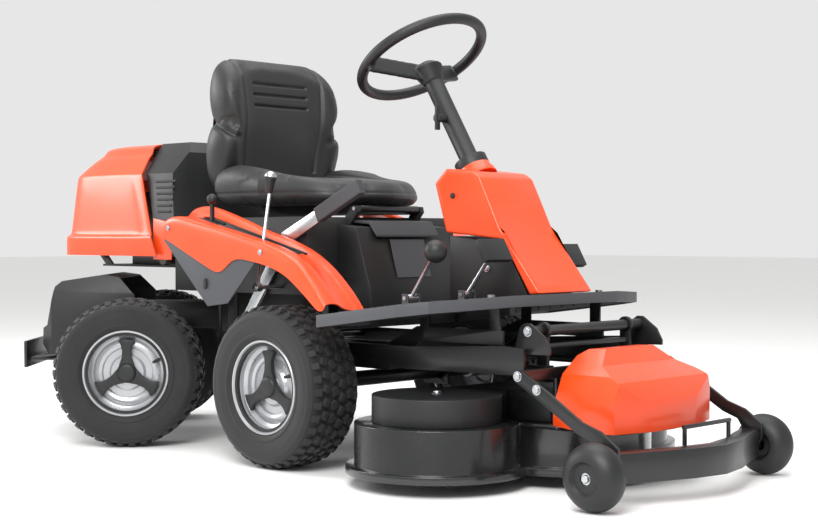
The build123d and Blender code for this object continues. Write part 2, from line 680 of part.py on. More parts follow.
# ---- seat -------------------------------------------------------------------------------------
def seat_plate():
    """Pressed plate that hinges at the front and carries the slide rails."""
    x, z = SEAT_HINGE
    body = block((-400, -20), (-105, 105), (626, 630))
    for y in (-100, 84):
        body += block((-390, -40), (y, y + 16), (629, CUSHION_LOW - SEAT_GAP))
    body += block((-24, x), (-108, 108), (634, 646)) + block((-24, -12), (-108, 108), (626, 640))
    body += rod_y(x, z, HINGE_PIN_R + 4, -108, 108)
    body -= rod_y(x, z, HINGE_PIN_R + RUNNING_GAP, -140, 140)
    return body


def seat_cushion():
    """Seat cushion on its pan, a closed solid with raised sides."""
    side = [(-420, 672), (-400, CUSHION_LOW), (-14, CUSHION_LOW), (12, 657), (24, 666), (12, 690), (-60, 712),
            (-430, 718)]
    body = prism_y(side, -235, 235)
    wing = prism_y([(-420, 700), (SEAT_JOINT_X + SEAT_GAP, 758), (-340, 756), (-250, 738), (-150, 705), (-60, 700)], 160, 235)
    return body + wing + flip_side(wing)


def seat_back():
    """Seat back, a closed solid with side wings."""
    side = [(SEAT_JOINT_X, 690), (SEAT_JOINT_X, 770), (-415, 860), (-448, 1040), (-478, 1060), (-510, 1045), (-508, 850),
            (-500, 690)]
    front = front_outline([(-150, 685), (-215, 730), (-222, 820), (-190, 880), (-212, 960), (-196, 1030), (-150, 1061)])
    body = prism_y(side, -225, 225) & prism_x(front, -560, -380)
    wing = prism_y([(-446, 768), (-398, 782), (-390, 860), (-425, 960), (-450, 960)], 165, 225)
    wing &= prism_x(front, -560, -380)
    return body + wing + flip_side(wing)


# ---- hand and foot controls -------------------------------------------------------------------
def lift_lever():
    """Flat steel lift lever on its pivot boss."""
    px, pz = LEVER_PIVOT
    bx, bz = LEVER_BASE
    tx, tz = LEVER_TIP
    half = LEVER_THICK / 2
    way = math.atan2(tz - bz, tx - bx)
    off = (14 * math.sin(way), -14 * math.cos(way))
    outline = [(px - 14, pz), (bx - off[0] - 20, bz - off[1]), (tx - 30 - off[0], tz - 15 - off[1]),
               (tx - 30 + off[0], tz - 15 + off[1]), (bx + off[0], bz + off[1]), (px + 14, pz)]
    body = prism_y(outline, -LEVER_Y - half, -LEVER_Y + half)
    body += rod_y(px, pz, 18, -LEVER_Y - half, -LEVER_Y + half)
    body -= rod_y(px, pz, LIFT_PIN_R + RUNNING_GAP, -LEVER_Y - 20, -LEVER_Y + 20)
    return body


def lift_grip():
    """Ribbed black grip over the end of the lift lever."""
    gx, gz = LEVER_GRIP_BACK
    tx, tz = LEVER_TIP
    length = math.hypot(tx - gx, tz - gz)
    angle = math.degrees(math.atan2(tz - gz, tx - gx))
    place = Pos((gx + tx) / 2, -LEVER_Y, (gz + tz) / 2) * Rot(0, -angle, 0)
    body = place * Box(length, 22, 38)
    hollow = lift_lever_outline_block()
    return body - hollow


def lift_lever_outline_block():
    """Slot in the grip for the lever's flat bar, with its seating gap."""
    bx, bz = LEVER_BASE
    tx, tz = LEVER_TIP
    way = math.atan2(tz - bz, tx - bx)
    grow = 14 + SEAT_GAP
    off = (grow * math.sin(way), -grow * math.cos(way))
    ahead = (SEAT_GAP * math.cos(way), SEAT_GAP * math.sin(way))
    outline = [(bx - off[0] - 20, bz - off[1]), (tx - 30 - off[0] + ahead[0], tz - 15 - off[1] + ahead[1]),
               (tx - 30 + off[0] + ahead[0], tz - 15 + off[1] + ahead[1]), (bx + off[0], bz + off[1])]
    half = LEVER_THICK / 2 + SEAT_GAP
    return prism_y(outline, -LEVER_Y - half, -LEVER_Y + half)


def height_lever():
    """Thin cutting-height rod with its teardrop grip."""
    px, pz = HEIGHT_PIVOT
    kx, kz = HEIGHT_KNOB
    rod = bar_between((px, -HEIGHT_Y, pz), (kx, -HEIGHT_Y, kz - 20), HEIGHT_ROD_R)
    rod += rod_y(px, pz, 11, -HEIGHT_Y - 8, -HEIGHT_Y + 8)
    rod -= rod_y(px, pz, HINGE_PIN_R + RUNNING_GAP, -HEIGHT_Y - 20, -HEIGHT_Y + 20)
    lean = math.degrees(math.atan2(kx - px, kz - pz))
    place = Pos(kx, -HEIGHT_Y, kz) * Rot(0, lean, 0)
    grip = place * Pos(0, 0, -8) * Cone(9, 15, 40) + place * Pos(0, 0, 11) * Sphere(15.5)
    grip -= bar_between((px, -HEIGHT_Y, pz), (kx, -HEIGHT_Y, kz - 19.5), HEIGHT_ROD_R + SEAT_GAP)
    return Compound(children=[rod, grip])


def throttle_lever():
    """Throttle lever on its cross pin, with a round knob above the fender."""
    x, z = THROTTLE
    body = rod_y(x, z, HINGE_PIN_R, -THROTTLE_Y - 15, -THROTTLE_Y + 15)
    body += block((x - 5, x + 5), (-THROTTLE_Y - 4, -THROTTLE_Y + 4), (z, z + 58))
    body += Pos(x, -THROTTLE_Y, z + 68) * Sphere(14)
    return body


PEDAL_PIVOTS = {
    "forward": (430.0, -172.0, 432.0),
    "reverse": (352.0, -282.0, 424.0),
    "brake": (400.0, 172.0, 428.0),
}


def pedal_arm(pivot, pad_centre):
    """Pedal rod on its hinge barrel."""
    x, y, z = pivot
    body = rod_y(x, z, HINGE_PIN_R + 4, y - 16, y + 16)
    body += bar_between(pivot, pad_centre, 5)
    body -= rod_y(x, z, HINGE_PIN_R + RUNNING_GAP, y - 20, y + 20)
    return body


def forward_pedal():
    """Wide rectangular drive pedal."""
    pad = (508, -167, 536)
    body = pedal_arm(PEDAL_PIVOTS["forward"], pad)
    return body + Pos(*pad) * Rot(0, -30, 0) * Box(14, 92, 56)


def reverse_pedal():
    """Round reverse pedal on its own rod."""
    pad = (430, -282, 534)
    body = pedal_arm(PEDAL_PIVOTS["reverse"], pad)
    return body + Pos(*pad) * Sphere(27)


def brake_pedal():
    """Rectangular brake pedal on the left."""
    pad = (468, 168, 520)
    body = pedal_arm(PEDAL_PIVOTS["brake"], pad)
    return body + Pos(*pad) * Rot(0, -30, 0) * Box(14, 104, 60)


# ---- equipment frame and cutting deck ---------------------------------------------------------
def equipment_frame():
    """Lift frame: two beams, the quadrant plates and the cross tube."""
    beam = [(72, 274), (72, 306), (300, 306), (600, 322), (660, 318), (660, 258), (300, 252)]
    quadrant = [(612, 303), (632, 366), (645, 374), (660, 374), (700, 346), (716, 318), (716, 306)]
    cx, cz = CROSS_TUBE
    body = rod_y(cx, cz, CROSS_TUBE_R, -QUAD_Y - 3, QUAD_Y + 3)
    for side in (-1, 1):
        body += prism_y(beam, *sorted((side * BEAM_Y, side * (BEAM_Y + BEAM_THICK))))
        body += prism_y(quadrant, *sorted((side * QUAD_Y, side * (QUAD_Y + PLATE))))
        body += block((616, 656), sorted((side * (QUAD_Y + PLATE - 1), side * (BEAM_Y + 1))), (304, 317))
        body -= rod_y(*LIFT_PIVOT, LIFT_PIN_R + RUNNING_GAP, *sorted((side * 230, side * 260)))
    return body


def service_arms():
    """Hinged guide blocks that let the deck pull forward and stand up for service."""
    cx, cz = CROSS_TUBE
    body = block((cx - 12, cx + 8), (-GUIDE_Y, GUIDE_Y), (cz - 40, cz - 30))
    for side in (-1, 1):
        lug = sorted((side * (GUIDE_Y - 5), side * (GUIDE_Y + 5)))
        body += rod_y(cx, cz, 20, *lug)
        body += block((cx - 14, cx + 14), lug, (GUIDE_Z + 10, cz))
        body += block((612, 668), sorted((side * (GUIDE_Y - 15), side * (GUIDE_Y + 15))),
                      (GUIDE_Z - 14, GUIDE_Z + 14))
    body -= rod_y(cx, cz, CROSS_TUBE_R + RUNNING_GAP, -200, 200)
    for side in (-1, 1):
        body -= rod_x(side * GUIDE_Y, GUIDE_Z, GUIDE_R + RUNNING_GAP, 600, 680)
    return body


def deck_carrier():
    """Sliding carrier: guide tubes, cross bar, wheel arms with axles and lift posts."""
    bar = (CROSS_BAR_X - 9, CROSS_BAR_X + 9)
    body = block(bar, (-ARM_Y - 8, ARM_Y + 8), (250, 274))
    arm = [(bar[0], 250), (bar[0], 274), (bar[1], 274), (766, 232), (856, 176), (905, 160), (950, 128),
           (950, 96), (932, 60), (914, 60), (908, 100), (885, 136), (845, 150), (752, 206)]
    for side in (-1, 1):
        body += rod_x(side * GUIDE_Y, GUIDE_Z, GUIDE_R, GUIDE_REAR, CROSS_BAR_X)
        body += prism_y(arm, *sorted((side * ARM_Y, side * (ARM_Y + 8))))
        axle = sorted((side * ARM_Y, side * (GAUGE_Y + GAUGE_HALF_W - 8)))
        body += rod_y(GAUGE_X, GAUGE_R, GAUGE_AXLE_R, *axle)
        body += rod_z(POST_X, side * POST_Y, POST_R, 155, 252)
    return body


def bumper():
    """Front bumper band with a wire handle loop, between the wheel arms."""
    reach = ARM_Y - SEAT_GAP
    outer = [(944, -reach), (976, -190), (1012, -95), (1030, 0), (1012, 95), (976, 190), (944, reach)]
    inner = [(x - 14, y) for x, y in reversed(outer)]
    band = prism_z(outer + inner, 52, 116)
    shelf = prism_z([(x - 10, y) for x, y in outer] + [(x - 30, y) for x, y in inner], 108, 116)
    body = band + shelf
    for side in (-1, 1):
        body += rod_z(955, side * 90 + 40, 5, 112, 152)
    body += rod_y(955, 152, 5, -55, 135)
    return body


def lobes(radius, low, high):
    """Three discs on the spindle centres, as one solid."""
    body = None
    for x, y in SPINDLES.values():
        disc = rod_z(x, y, radius, low, high)
        body = disc if body is None else body + disc
    return body


def deck_shell():
    """Three-lobed pressed deck, open below, with bearing housings and post sleeves."""
    body = lobes(LOBE_R, DECK_STEP_Z - 10, DECK_TOP_Z) + lobes(LIP_R, DECK_LIP_Z, DECK_STEP_Z)
    shelf = [(600, -195), (820, -195), (876, -160), (890, 0), (876, 160), (820, 195), (600, 195)]
    body += prism_z(shelf, COVER_LOW_Z - SEAT_GAP - DECK_WALL, COVER_LOW_Z - SEAT_GAP)
    body -= lobes(LOBE_R - DECK_WALL, DECK_LIP_Z - 1, DECK_TOP_Z - DECK_WALL)
    body -= lobes(LIP_R - DECK_WALL, DECK_LIP_Z - 1, DECK_STEP_Z - DECK_WALL)
    for x, y in SPINDLES.values():
        body += rod_z(x, y, 32, 112, DECK_TOP_Z + 4)
        body -= rod_z(x, y, SPINDLE_R + RUNNING_GAP, 100, DECK_TOP_Z + 10)
    for side in (-1, 1):
        body += rod_z(POST_X, side * POST_Y, POST_R + 6, DECK_TOP_Z - DECK_WALL, DECK_TOP_Z + 40)
        body -= rod_z(POST_X, side * POST_Y, POST_R + RUNNING_GAP, 120, DECK_TOP_Z + 50)
    return body


def belt_cover():
    """Black moulded cover over the pulleys and belt."""
    low = DECK_TOP_Z + SEAT_GAP
    body = lobes(DRUM_R, low, DRUM_TOP_Z)
    link = [(450, -120), (605, -60), (605, 60), (450, 120), (330, 150), (330, -150)]
    body += prism_z(link, low, DRUM_TOP_Z - 6)
    body -= lobes(DRUM_R - PLASTIC_WALL, low - 1, DRUM_TOP_Z - PLASTIC_WALL)
    body -= prism_z(shrink(link, PLASTIC_WALL), low - 1, DRUM_TOP_Z - 6 - PLASTIC_WALL)
    return body


def deck_cover():
    """Orange front cover of the deck, open below."""
    side = [(712, 148), (712, 300), (730, 314), (775, 316), (800, 282), (868, 250), (893, 205),
            (898, COVER_LOW_Z), (800, COVER_LOW_Z)]
    plan = mirrored([(900, -70), (868, -190), (820, -204), (710, -204)])
    front = front_outline([(-206, 135), (-204, 190), (-170, 262), (-90, 318)])
    return moulding(side, plan, front, PLASTIC_WALL, [(0, 0, -1), (-1, 0, 0), (-1, 0, -1)])


def blade_set(place):
    """Cutter bar, spindle shaft and pulley on one spindle centre."""
    x, y = place
    top = BLADE_Z + BLADE_THICK
    bar = block((x - 26, x + 26), (y - BLADE_R + 4, y + BLADE_R - 4), (BLADE_Z, top))
    bar &= rod_z(x, y, BLADE_R, BLADE_Z, top)
    bar -= rod_z(x, y, SPINDLE_R + SEAT_GAP, 30, 60)
    shaft = rod_z(x, y, SPINDLE_R, BLADE_Z - 2, 186)
    shaft += rod_z(x, y, 19, BLADE_Z - 10, BLADE_Z - SEAT_GAP)
    shaft += rod_z(x, y, 24, top + SEAT_GAP, top + 12)
    low = DECK_TOP_Z + 12
    pulley = rod_z(x, y, PULLEY_R, low, low + 22) - rod_z(x, y, SPINDLE_R + SEAT_GAP, low - 1, low + 30)
    groove = rod_z(x, y, PULLEY_R + 1, low + 6, low + 16) - rod_z(x, y, PULLEY_R - 9, low + 5, low + 17)
    return Compound(children=[bar, shaft, pulley - groove])


def gauge_wheel():
    """Rounded plastic support wheel; the outer side faces -Y."""
    half = GAUGE_HALF_W
    bore = GAUGE_AXLE_R + RUNNING_GAP
    outline = [(bore, -half + 10), (30, -half + 8), (36, -half), (48, -half + 2), (62, -half + 13),
               (70, -half + 26), (GAUGE_R, 0), (70, half - 26), (62, half - 13), (44, half - 3),
               (bore, half - 3)]
    face = make_face(Polyline(*[(r, y, 0) for r, y in outline], close=True))
    return revolve(face, axis=Axis.Y, revolution_arc=360)


# ---- assembly ---------------------------------------------------------------------------------
def place_wheels(shapes):
    """Puts a tyre, rim and trim at each corner, the outer side outwards."""
    corners = {
        "front_right": (Pos(0, -FRONT_TRACK / 2, TYRE_R), AXLE_R + RUNNING_GAP),
        "front_left": (Pos(0, FRONT_TRACK / 2, TYRE_R) * Rot(0, 0, 180), AXLE_R + RUNNING_GAP),
    }
    carriage = Pos(PIVOT_X, 0, 0) * Rot(0, 0, CARRIAGE_YAW)
    right = carriage * Pos(-REAR_AXLE_BACK, -REAR_TRACK / 2, TYRE_R)
    left = carriage * Pos(-REAR_AXLE_BACK, REAR_TRACK / 2, TYRE_R) * Rot(0, 0, 180)
    corners["rear_right"] = (right, AXLE_R + SEAT_GAP)
    corners["rear_left"] = (left, AXLE_R + SEAT_GAP)
    for name, (place, bore_r) in corners.items():
        wheel_rim = rim(bore_r)
        if name.startswith("rear"):
            wheel_rim = Compound(children=[wheel_rim, drive_shaft()])
        shapes[name + "_tyre"] = place * tyre()
        shapes[name + "_rim"] = place * wheel_rim
        shapes[name + "_trim"] = place * wheel_trim()


def build_machine():
    """Returns every node's shape by name, in the layout frame."""
    shapes = {}
    for make in (main_frame, front_axle, frame_fasteners, footplate, fender_right, fender_left,
                 fender_skirts, seat_plinth, floor_console, steering_cowl, column_tube, tilt_knob,
                 engine, muffler, fuel_tank, battery, engine_surround, steering_wheel, steering_shaft,
                 hood_shell, hood_grille, seat_plate, seat_cushion, seat_back, lift_lever, lift_grip,
                 height_lever, throttle_lever, forward_pedal, reverse_pedal, brake_pedal,
                 equipment_frame, service_arms, deck_carrier, bumper, deck_shell, belt_cover,
                 deck_cover):
        shapes[make.__name__] = make()
    carriage = Pos(PIVOT_X, 0, 0) * Rot(0, 0, CARRIAGE_YAW)
    for make in (rear_frame, transaxle, counterweight, weight_cover, tow_bar):
        shapes[make.__name__] = carriage * make()
    place_wheels(shapes)
    for side, place in SPINDLES.items():
        shapes["blade_" + side] = blade_set(place)
    shapes["gauge_wheel_right"] = Pos(GAUGE_X, -GAUGE_Y, GAUGE_R) * gauge_wheel()
    shapes["gauge_wheel_left"] = Pos(GAUGE_X, GAUGE_Y, GAUGE_R) * Rot(0, 0, 180) * gauge_wheel()
    return shapes


def footprint_shift(shapes):
    """Move that brings the centre of the machine's box to X = Y = 0 and its lowest point to Z = 0."""
    boxes = [shape.bounding_box() for shape in shapes.values()]
    low = [min(getattr(box.min, axis) for box in boxes) for axis in "XYZ"]
    high = [max(getattr(box.max, axis) for box in boxes) for axis in "XYZ"]
    return (-(low[0] + high[0]) / 2, -(low[1] + high[1]) / 2, -low[2])


def main():
    """Builds the machine and writes one STEP file for each node."""
    shapes = build_machine()
    shift = footprint_shift(shapes)
    os.makedirs("parts", exist_ok=True)
    for name, shape in shapes.items():
        export_step(Pos(*shift) * shape, "parts/" + name + ".step")
    print("nodes", len(shapes), "shift", [round(value, 3) for value in shift])


if __name__ == "__main__":
    main()
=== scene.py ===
"""An articulated ride-on mower with a front cutting deck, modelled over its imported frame.

Every place is worked out from the frame: the machine's own origin lies on the ground under the
front axle, +X forward, +Y to the driver's left, +Z up, and its sizes are in millimetres.
"""

from __future__ import annotations

import json
import logging
import math
from dataclasses import dataclass
from enum import Enum
from typing import Callable, Iterable, Sequence

import bpy
from mathutils import Matrix, Vector


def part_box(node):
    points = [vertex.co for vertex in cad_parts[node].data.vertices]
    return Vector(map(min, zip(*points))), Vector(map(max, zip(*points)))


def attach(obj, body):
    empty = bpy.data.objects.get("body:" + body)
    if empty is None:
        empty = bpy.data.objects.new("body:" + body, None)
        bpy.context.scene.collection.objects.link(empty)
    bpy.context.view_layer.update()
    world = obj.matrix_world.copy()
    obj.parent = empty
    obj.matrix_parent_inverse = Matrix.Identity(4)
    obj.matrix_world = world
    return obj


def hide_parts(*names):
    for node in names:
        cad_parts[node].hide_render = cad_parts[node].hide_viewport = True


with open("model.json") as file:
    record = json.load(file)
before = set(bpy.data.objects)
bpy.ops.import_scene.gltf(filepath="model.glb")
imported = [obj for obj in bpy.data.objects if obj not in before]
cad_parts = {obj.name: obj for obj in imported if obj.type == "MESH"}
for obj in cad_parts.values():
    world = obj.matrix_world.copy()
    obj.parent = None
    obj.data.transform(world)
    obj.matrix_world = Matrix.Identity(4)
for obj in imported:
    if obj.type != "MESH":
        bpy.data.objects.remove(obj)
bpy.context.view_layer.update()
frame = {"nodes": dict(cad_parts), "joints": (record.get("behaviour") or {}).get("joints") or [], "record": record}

LOG = logging.getLogger("mower")
Point = Sequence[float]
MM = 0.001
JOINTS = {joint["name"]: joint for joint in frame["joints"]}
FRONT_HALF_TRACK = 367.0


def machine_origin() -> Vector:
    """Find the point on the ground under the middle of the front axle, in metres."""
    hub = Vector(JOINTS["front_wheel_right_spin"]["pos_m"])
    return Vector((hub.x, hub.y + FRONT_HALF_TRACK * MM, 0.0))


ORIGIN = machine_origin()


def at(x: float, y: float, z: float) -> Vector:
    """Turn machine millimetres into the frame's metres."""
    return ORIGIN + Vector((x, y, z)) * MM


def srgb(code: str) -> tuple[float, float, float, float]:
    """Turn an sRGB hex code into linear colour.

    Args:
        code: six hex digits, with or without a leading mark.

    Returns:
        Linear red, green, blue and an alpha of 1.
    """
    digits = code.lstrip("#")
    parts = [int(digits[i : i + 2], 16) / 255.0 for i in (0, 2, 4)]
    linear = [p / 12.92 if p <= 0.04045 else ((p + 0.055) / 1.055) ** 2.4 for p in parts]
    return (linear[0], linear[1], linear[2], 1.0)


def add_node(tree: bpy.types.NodeTree, kind: str, inputs: dict | None = None, **settings) -> bpy.types.Node:
    """Add one node, set it up and wire what feeds it.

    Args:
        tree: the node tree to add to.
        kind: the node's type name.
        inputs: socket name or number to a value, or to the output socket that feeds it.
        **settings: the node's own properties.

    Returns:
        The new node.
    """
    node = tree.nodes.new(kind)
    for key, value in settings.items():
        setattr(node, key, value)
    for key, value in (inputs or {}).items():
        if isinstance(value, bpy.types.NodeSocket):
            tree.links.new(value, node.inputs[key])
        else:
            node.inputs[key].default_value = value
    return node


class Grain(Enum):
    """How a surface was made, which decides its relief."""

    SPARK = "spark-eroded mould texture"
    PEEL = "sprayed coat with a slight orange peel"
    HIDE = "embossed leather grain"
    DRAWN = "drawn or rolled metal"
    SAND = "sand-cast skin"
    RUBBER = "moulded rubber with dust in its pores"


@dataclass(frozen=True)
class Finish:
    """One real material and the way its surface was made.

    The grain's size is in millimetres on the object, and its depth is how far the relief stands.
    """

    name: str
    colour: str
    shade: str
    roughness: tuple[float, float]
    grain: Grain
    grain_mm: float
    depth: float
    metallic: float = 0.0
    coat: float = 0.0
    sheen: float = 0.0
    mottle_mm: float = 90.0

    def relief(self, tree: bpy.types.NodeTree, place: bpy.types.NodeSocket) -> bpy.types.NodeSocket:
        """Lay the grain's height field.

        Args:
            tree: the material's node tree.
            place: the coordinates to read, in metres.

        Returns:
            The height socket.
        """
        scale = 1.0 / (self.grain_mm * MM)
        if self.grain is Grain.HIDE:
            cells = add_node(tree, "ShaderNodeTexVoronoi", {"Vector": place, "Scale": scale}, feature="SMOOTH_F1")
            folds = add_node(tree, "ShaderNodeTexNoise", {"Vector": place, "Scale": scale / 9, "Detail": 3.0})
            both = add_node(tree, "ShaderNodeMath", {0: cells.outputs["Distance"], 1: folds.outputs["Fac"]})
            return both.outputs[0]
        if self.grain is Grain.DRAWN:
            along = add_node(tree, "ShaderNodeMapping", {"Vector": place, "Scale": (1.0, 1.0, 0.06)})
            lines = add_node(tree, "ShaderNodeTexNoise", {"Vector": along.outputs[0], "Scale": scale})
            return lines.outputs["Fac"]
        if self.grain is Grain.SAND:
            pits = add_node(tree, "ShaderNodeTexVoronoi", {"Vector": place, "Scale": scale})
            lumps = add_node(tree, "ShaderNodeTexNoise", {"Vector": place, "Scale": scale / 4, "Detail": 4.0})
            both = add_node(tree, "ShaderNodeMath", {0: pits.outputs["Distance"], 1: lumps.outputs["Fac"]})
            return both.outputs[0]
        detail = 5.0 if self.grain is Grain.RUBBER else 2.0
        field = add_node(tree, "ShaderNodeTexNoise", {"Vector": place, "Scale": scale, "Detail": detail})
        return field.outputs["Fac"]

    def material(self) -> bpy.types.Material:
        """Build the finish once, or give the one already built."""
        known = bpy.data.materials.get(self.name)
        if known:
            return known
        made = bpy.data.materials.new(self.name)
        made.use_nodes = True
        made.diffuse_color = srgb(self.colour)
        tree = made.node_tree
        shader = tree.nodes["Principled BSDF"]
        place = add_node(tree, "ShaderNodeTexCoord").outputs["Object"]
        patches = add_node(
            tree,
            "ShaderNodeTexNoise",
            {"Vector": place, "Scale": 1.0 / (self.mottle_mm * MM), "Detail": 4.0, "Roughness": 0.6},
        )
        tone = add_node(
            tree,
            "ShaderNodeMix",
            {"Factor": patches.outputs["Fac"], "A": srgb(self.shade), "B": srgb(self.colour)},
            data_type="RGBA",
        )
        gloss = add_node(
            tree,
            "ShaderNodeMapRange",
            {"Value": patches.outputs["Fac"], 1: 0.3, 2: 0.7, 3: self.roughness[0], 4: self.roughness[1]},
        )
        bump = add_node(
            tree,
            "ShaderNodeBump",
            {"Height": self.relief(tree, place), "Strength": 1.0, "Distance": self.depth * MM},
        )
        tree.links.new(tone.outputs["Result"], shader.inputs["Base Color"])
        tree.links.new(gloss.outputs["Result"], shader.inputs["Roughness"])
        tree.links.new(bump.outputs["Normal"], shader.inputs["Normal"])
        shader.inputs["Metallic"].default_value = self.metallic
        shader.inputs["Coat Weight"].default_value = self.coat
        shader.inputs["Coat Roughness"].default_value = 0.12
        shader.inputs["Sheen Weight"].default_value = self.sheen
        return made


class Paint:
    """Every finish on the machine, named for its material and how it was made."""

    # Polypropylene body panels from a polished mould: a soft gloss with warm, slightly uneven orange.
    ORANGE = Finish("moulded_orange_polypropylene", "EC4A10", "DF3F0A", (0.32, 0.40), Grain.PEEL, 5.0, 0.02, coat=0.25)
    # Glass-filled polypropylene from a spark-eroded mould: matt charcoal with a fine sparkle of grain.
    BLACK = Finish("moulded_black_polypropylene", "18191A", "111213", (0.46, 0.56), Grain.SPARK, 2.4, 0.08)
    # The same, with more grey in it, on the floor's edge band and the skirts below the wings.
    GREY = Finish("moulded_grey_polypropylene", "45464A", "3D3E42", (0.50, 0.60), Grain.SPARK, 2.4, 0.08)
    # Steel with a sprayed powder coat: deep black with a wide, soft highlight.
    STEEL = Finish("powder_coated_steel", "131415", "0E0F10", (0.32, 0.44), Grain.PEEL, 3.0, 0.06, coat=0.15)
    # Pressed deck shell under a thick enamel, the glossiest black on the machine.
    ENAMEL = Finish("enamelled_steel_pressing", "161718", "101112", (0.22, 0.32), Grain.PEEL, 7.0, 0.10, coat=0.5)
    # Rolled wheel rims in silver lacquer, between a paint and a metal.
    SILVER = Finish("silver_lacquered_steel", "B4B6B8", "A6A8AB", (0.26, 0.36), Grain.PEEL, 2.5, 0.03, metallic=0.55)
    # Tyre rubber: carbon black gone slightly grey, with dust in its pores.
    TYRE = Finish("moulded_tyre_rubber", "1A1A1B", "121213", (0.66, 0.80), Grain.RUBBER, 3.2, 0.25, sheen=0.1)
    # Zinc-plated rods and bolts, a bright cold grey with drawing lines.
    ZINC = Finish("zinc_plated_steel", "C9CBCD", "AEB1B4", (0.22, 0.36), Grain.DRAWN, 1.2, 0.03, metallic=1.0)
    # Soft grip mouldings, greyer and duller than the hard plastic.
    GRIP = Finish("moulded_grip_rubber", "3A3B3E", "303134", (0.58, 0.68), Grain.SPARK, 2.0, 0.10)
    # Sand-cast aluminium housings of the engine and transaxle.
    CAST = Finish("sand_cast_aluminium", "77797B", "626466", (0.44, 0.60), Grain.SAND, 3.0, 0.25, metallic=0.9)
    # Cast-iron ballast in black primer.
    IRON = Finish("primed_cast_iron", "161718", "101111", (0.55, 0.70), Grain.SAND, 4.0, 0.35)
    # Vacuum-moulded vinyl seat skin with an embossed leather grain.
    VINYL = Finish("embossed_black_vinyl", "1A1B1C", "131415", (0.42, 0.54), Grain.HIDE, 2.6, 0.16, sheen=0.05)
    # Hardened cutter steel, ground on its edge.
    BLADE = Finish("hardened_cutter_steel", "8C8E90", "6F7173", (0.35, 0.50), Grain.DRAWN, 1.5, 0.06, metallic=1.0)
    # Blued or sooty exhaust steel.
    EXHAUST = Finish("aluminised_exhaust_steel", "8A8880", "5E5C58", (0.30, 0.50), Grain.DRAWN, 2.0, 0.05, metallic=0.9)
    # Painted studio floor.
    FLOOR = Finish("matt_studio_floor", "F2F2F1", "EEEEED", (0.75, 0.85), Grain.PEEL, 30.0, 0.01, mottle_mm=900.0)


SLOT_FINISH = {
    "orange_plastic": Paint.ORANGE,
    "black_plastic": Paint.BLACK,
    "dark_grey_plastic": Paint.GREY,
    "black_painted_steel": Paint.STEEL,
    "rim_silver": Paint.SILVER,
    "tyre_rubber": Paint.TYRE,
    "zinc_steel": Paint.ZINC,
    "grip_rubber": Paint.GRIP,
    "cast_aluminium": Paint.CAST,
    "ballast_iron": Paint.IRON,
    "black_vinyl": Paint.VINYL,
}


def paint(piece: bpy.types.Object, finish: Finish) -> None:
    """Give a piece one finish all over."""
    piece.data.materials.clear()
    piece.data.materials.append(finish.material())


def clear_selection() -> None:
    """Leave edit mode and deselect everything."""
    if bpy.context.object and bpy.context.object.mode != "OBJECT":
        bpy.ops.object.mode_set(mode="OBJECT")
    bpy.ops.object.select_all(action="DESELECT")


def take_up(piece: bpy.types.Object) -> None:
    """Select one piece alone and make it active."""
    clear_selection()
    piece.select_set(True)
    bpy.context.view_layer.objects.active = piece


def settle(name: str) -> bpy.types.Object:
    """Name the primitive just added, and put its place into its mesh."""
    piece = bpy.context.object
    piece.name = name
    piece.data.name = name
    bpy.ops.object.transform_apply(location=True, rotation=True, scale=True)
    return piece


def face_outwards(piece: bpy.types.Object, weld_mm: float = 0.02) -> None:
    """Merge doubled points and turn every face outwards."""
    take_up(piece)
    bpy.ops.object.mode_set(mode="EDIT")
    bpy.ops.mesh.select_all(action="SELECT")
    bpy.ops.mesh.remove_doubles(threshold=weld_mm * MM)
    bpy.ops.mesh.normals_make_consistent(inside=False)
    bpy.ops.object.mode_set(mode="OBJECT")


def smooth(piece: bpy.types.Object, degrees: float = 35.0) -> bpy.types.Object:
    """Shade smooth, but keep edges sharper than an angle."""
    take_up(piece)
    bpy.ops.object.shade_smooth_by_angle(angle=math.radians(degrees))
    return piece


def apply_modifier(piece: bpy.types.Object, kind: str, **settings) -> bpy.types.Object:
    """Add a modifier, set it and apply it.

    Args:
        piece: the mesh object.
        kind: the modifier's type.
        **settings: its properties.

    Returns:
        The same piece.
    """
    take_up(piece)
    modifier = piece.modifiers.new(kind.title(), kind)
    for key, value in settings.items():
        setattr(modifier, key, value)
    bpy.ops.object.modifier_apply(modifier=modifier.name)
    return piece


def round_edges(piece: bpy.types.Object, radius_mm: float, steps: int = 2, degrees: float = 32.0) -> bpy.types.Object:
    """Round every edge sharper than an angle, then shade it."""
    apply_modifier(
        piece, "BEVEL", width=radius_mm * MM, segments=steps, limit_method="ANGLE", angle_limit=math.radians(degrees)
    )
    return smooth(piece, 40.0)


def subdivide(piece: bpy.types.Object, levels: int) -> bpy.types.Object:
    """Round a cage with a subdivision surface."""
    apply_modifier(piece, "SUBSURF", levels=levels, render_levels=levels)
    return smooth(piece, 60.0)


def block(name: str, low: Point, high: Point) -> bpy.types.Object:
    """Add a box between two corners, in machine millimetres."""
    clear_selection()
    a, b = at(*low), at(*high)
    bpy.ops.mesh.primitive_cube_add(size=1, location=(a + b) / 2)
    bpy.context.object.scale = [abs(q - p) for p, q in zip(a, b)]
    return settle(name)


def rod(name: str, start: Point, end: Point, radius: float, sides: int = 32) -> bpy.types.Object:
    """Add a round bar between two points, in machine millimetres."""
    clear_selection()
    a, b = at(*start), at(*end)
    turn = (b - a).to_track_quat("Z", "Y").to_euler()
    bpy.ops.mesh.primitive_cylinder_add(
        vertices=sides, radius=radius * MM, depth=(b - a).length, location=(a + b) / 2, rotation=turn
    )
    return settle(name)


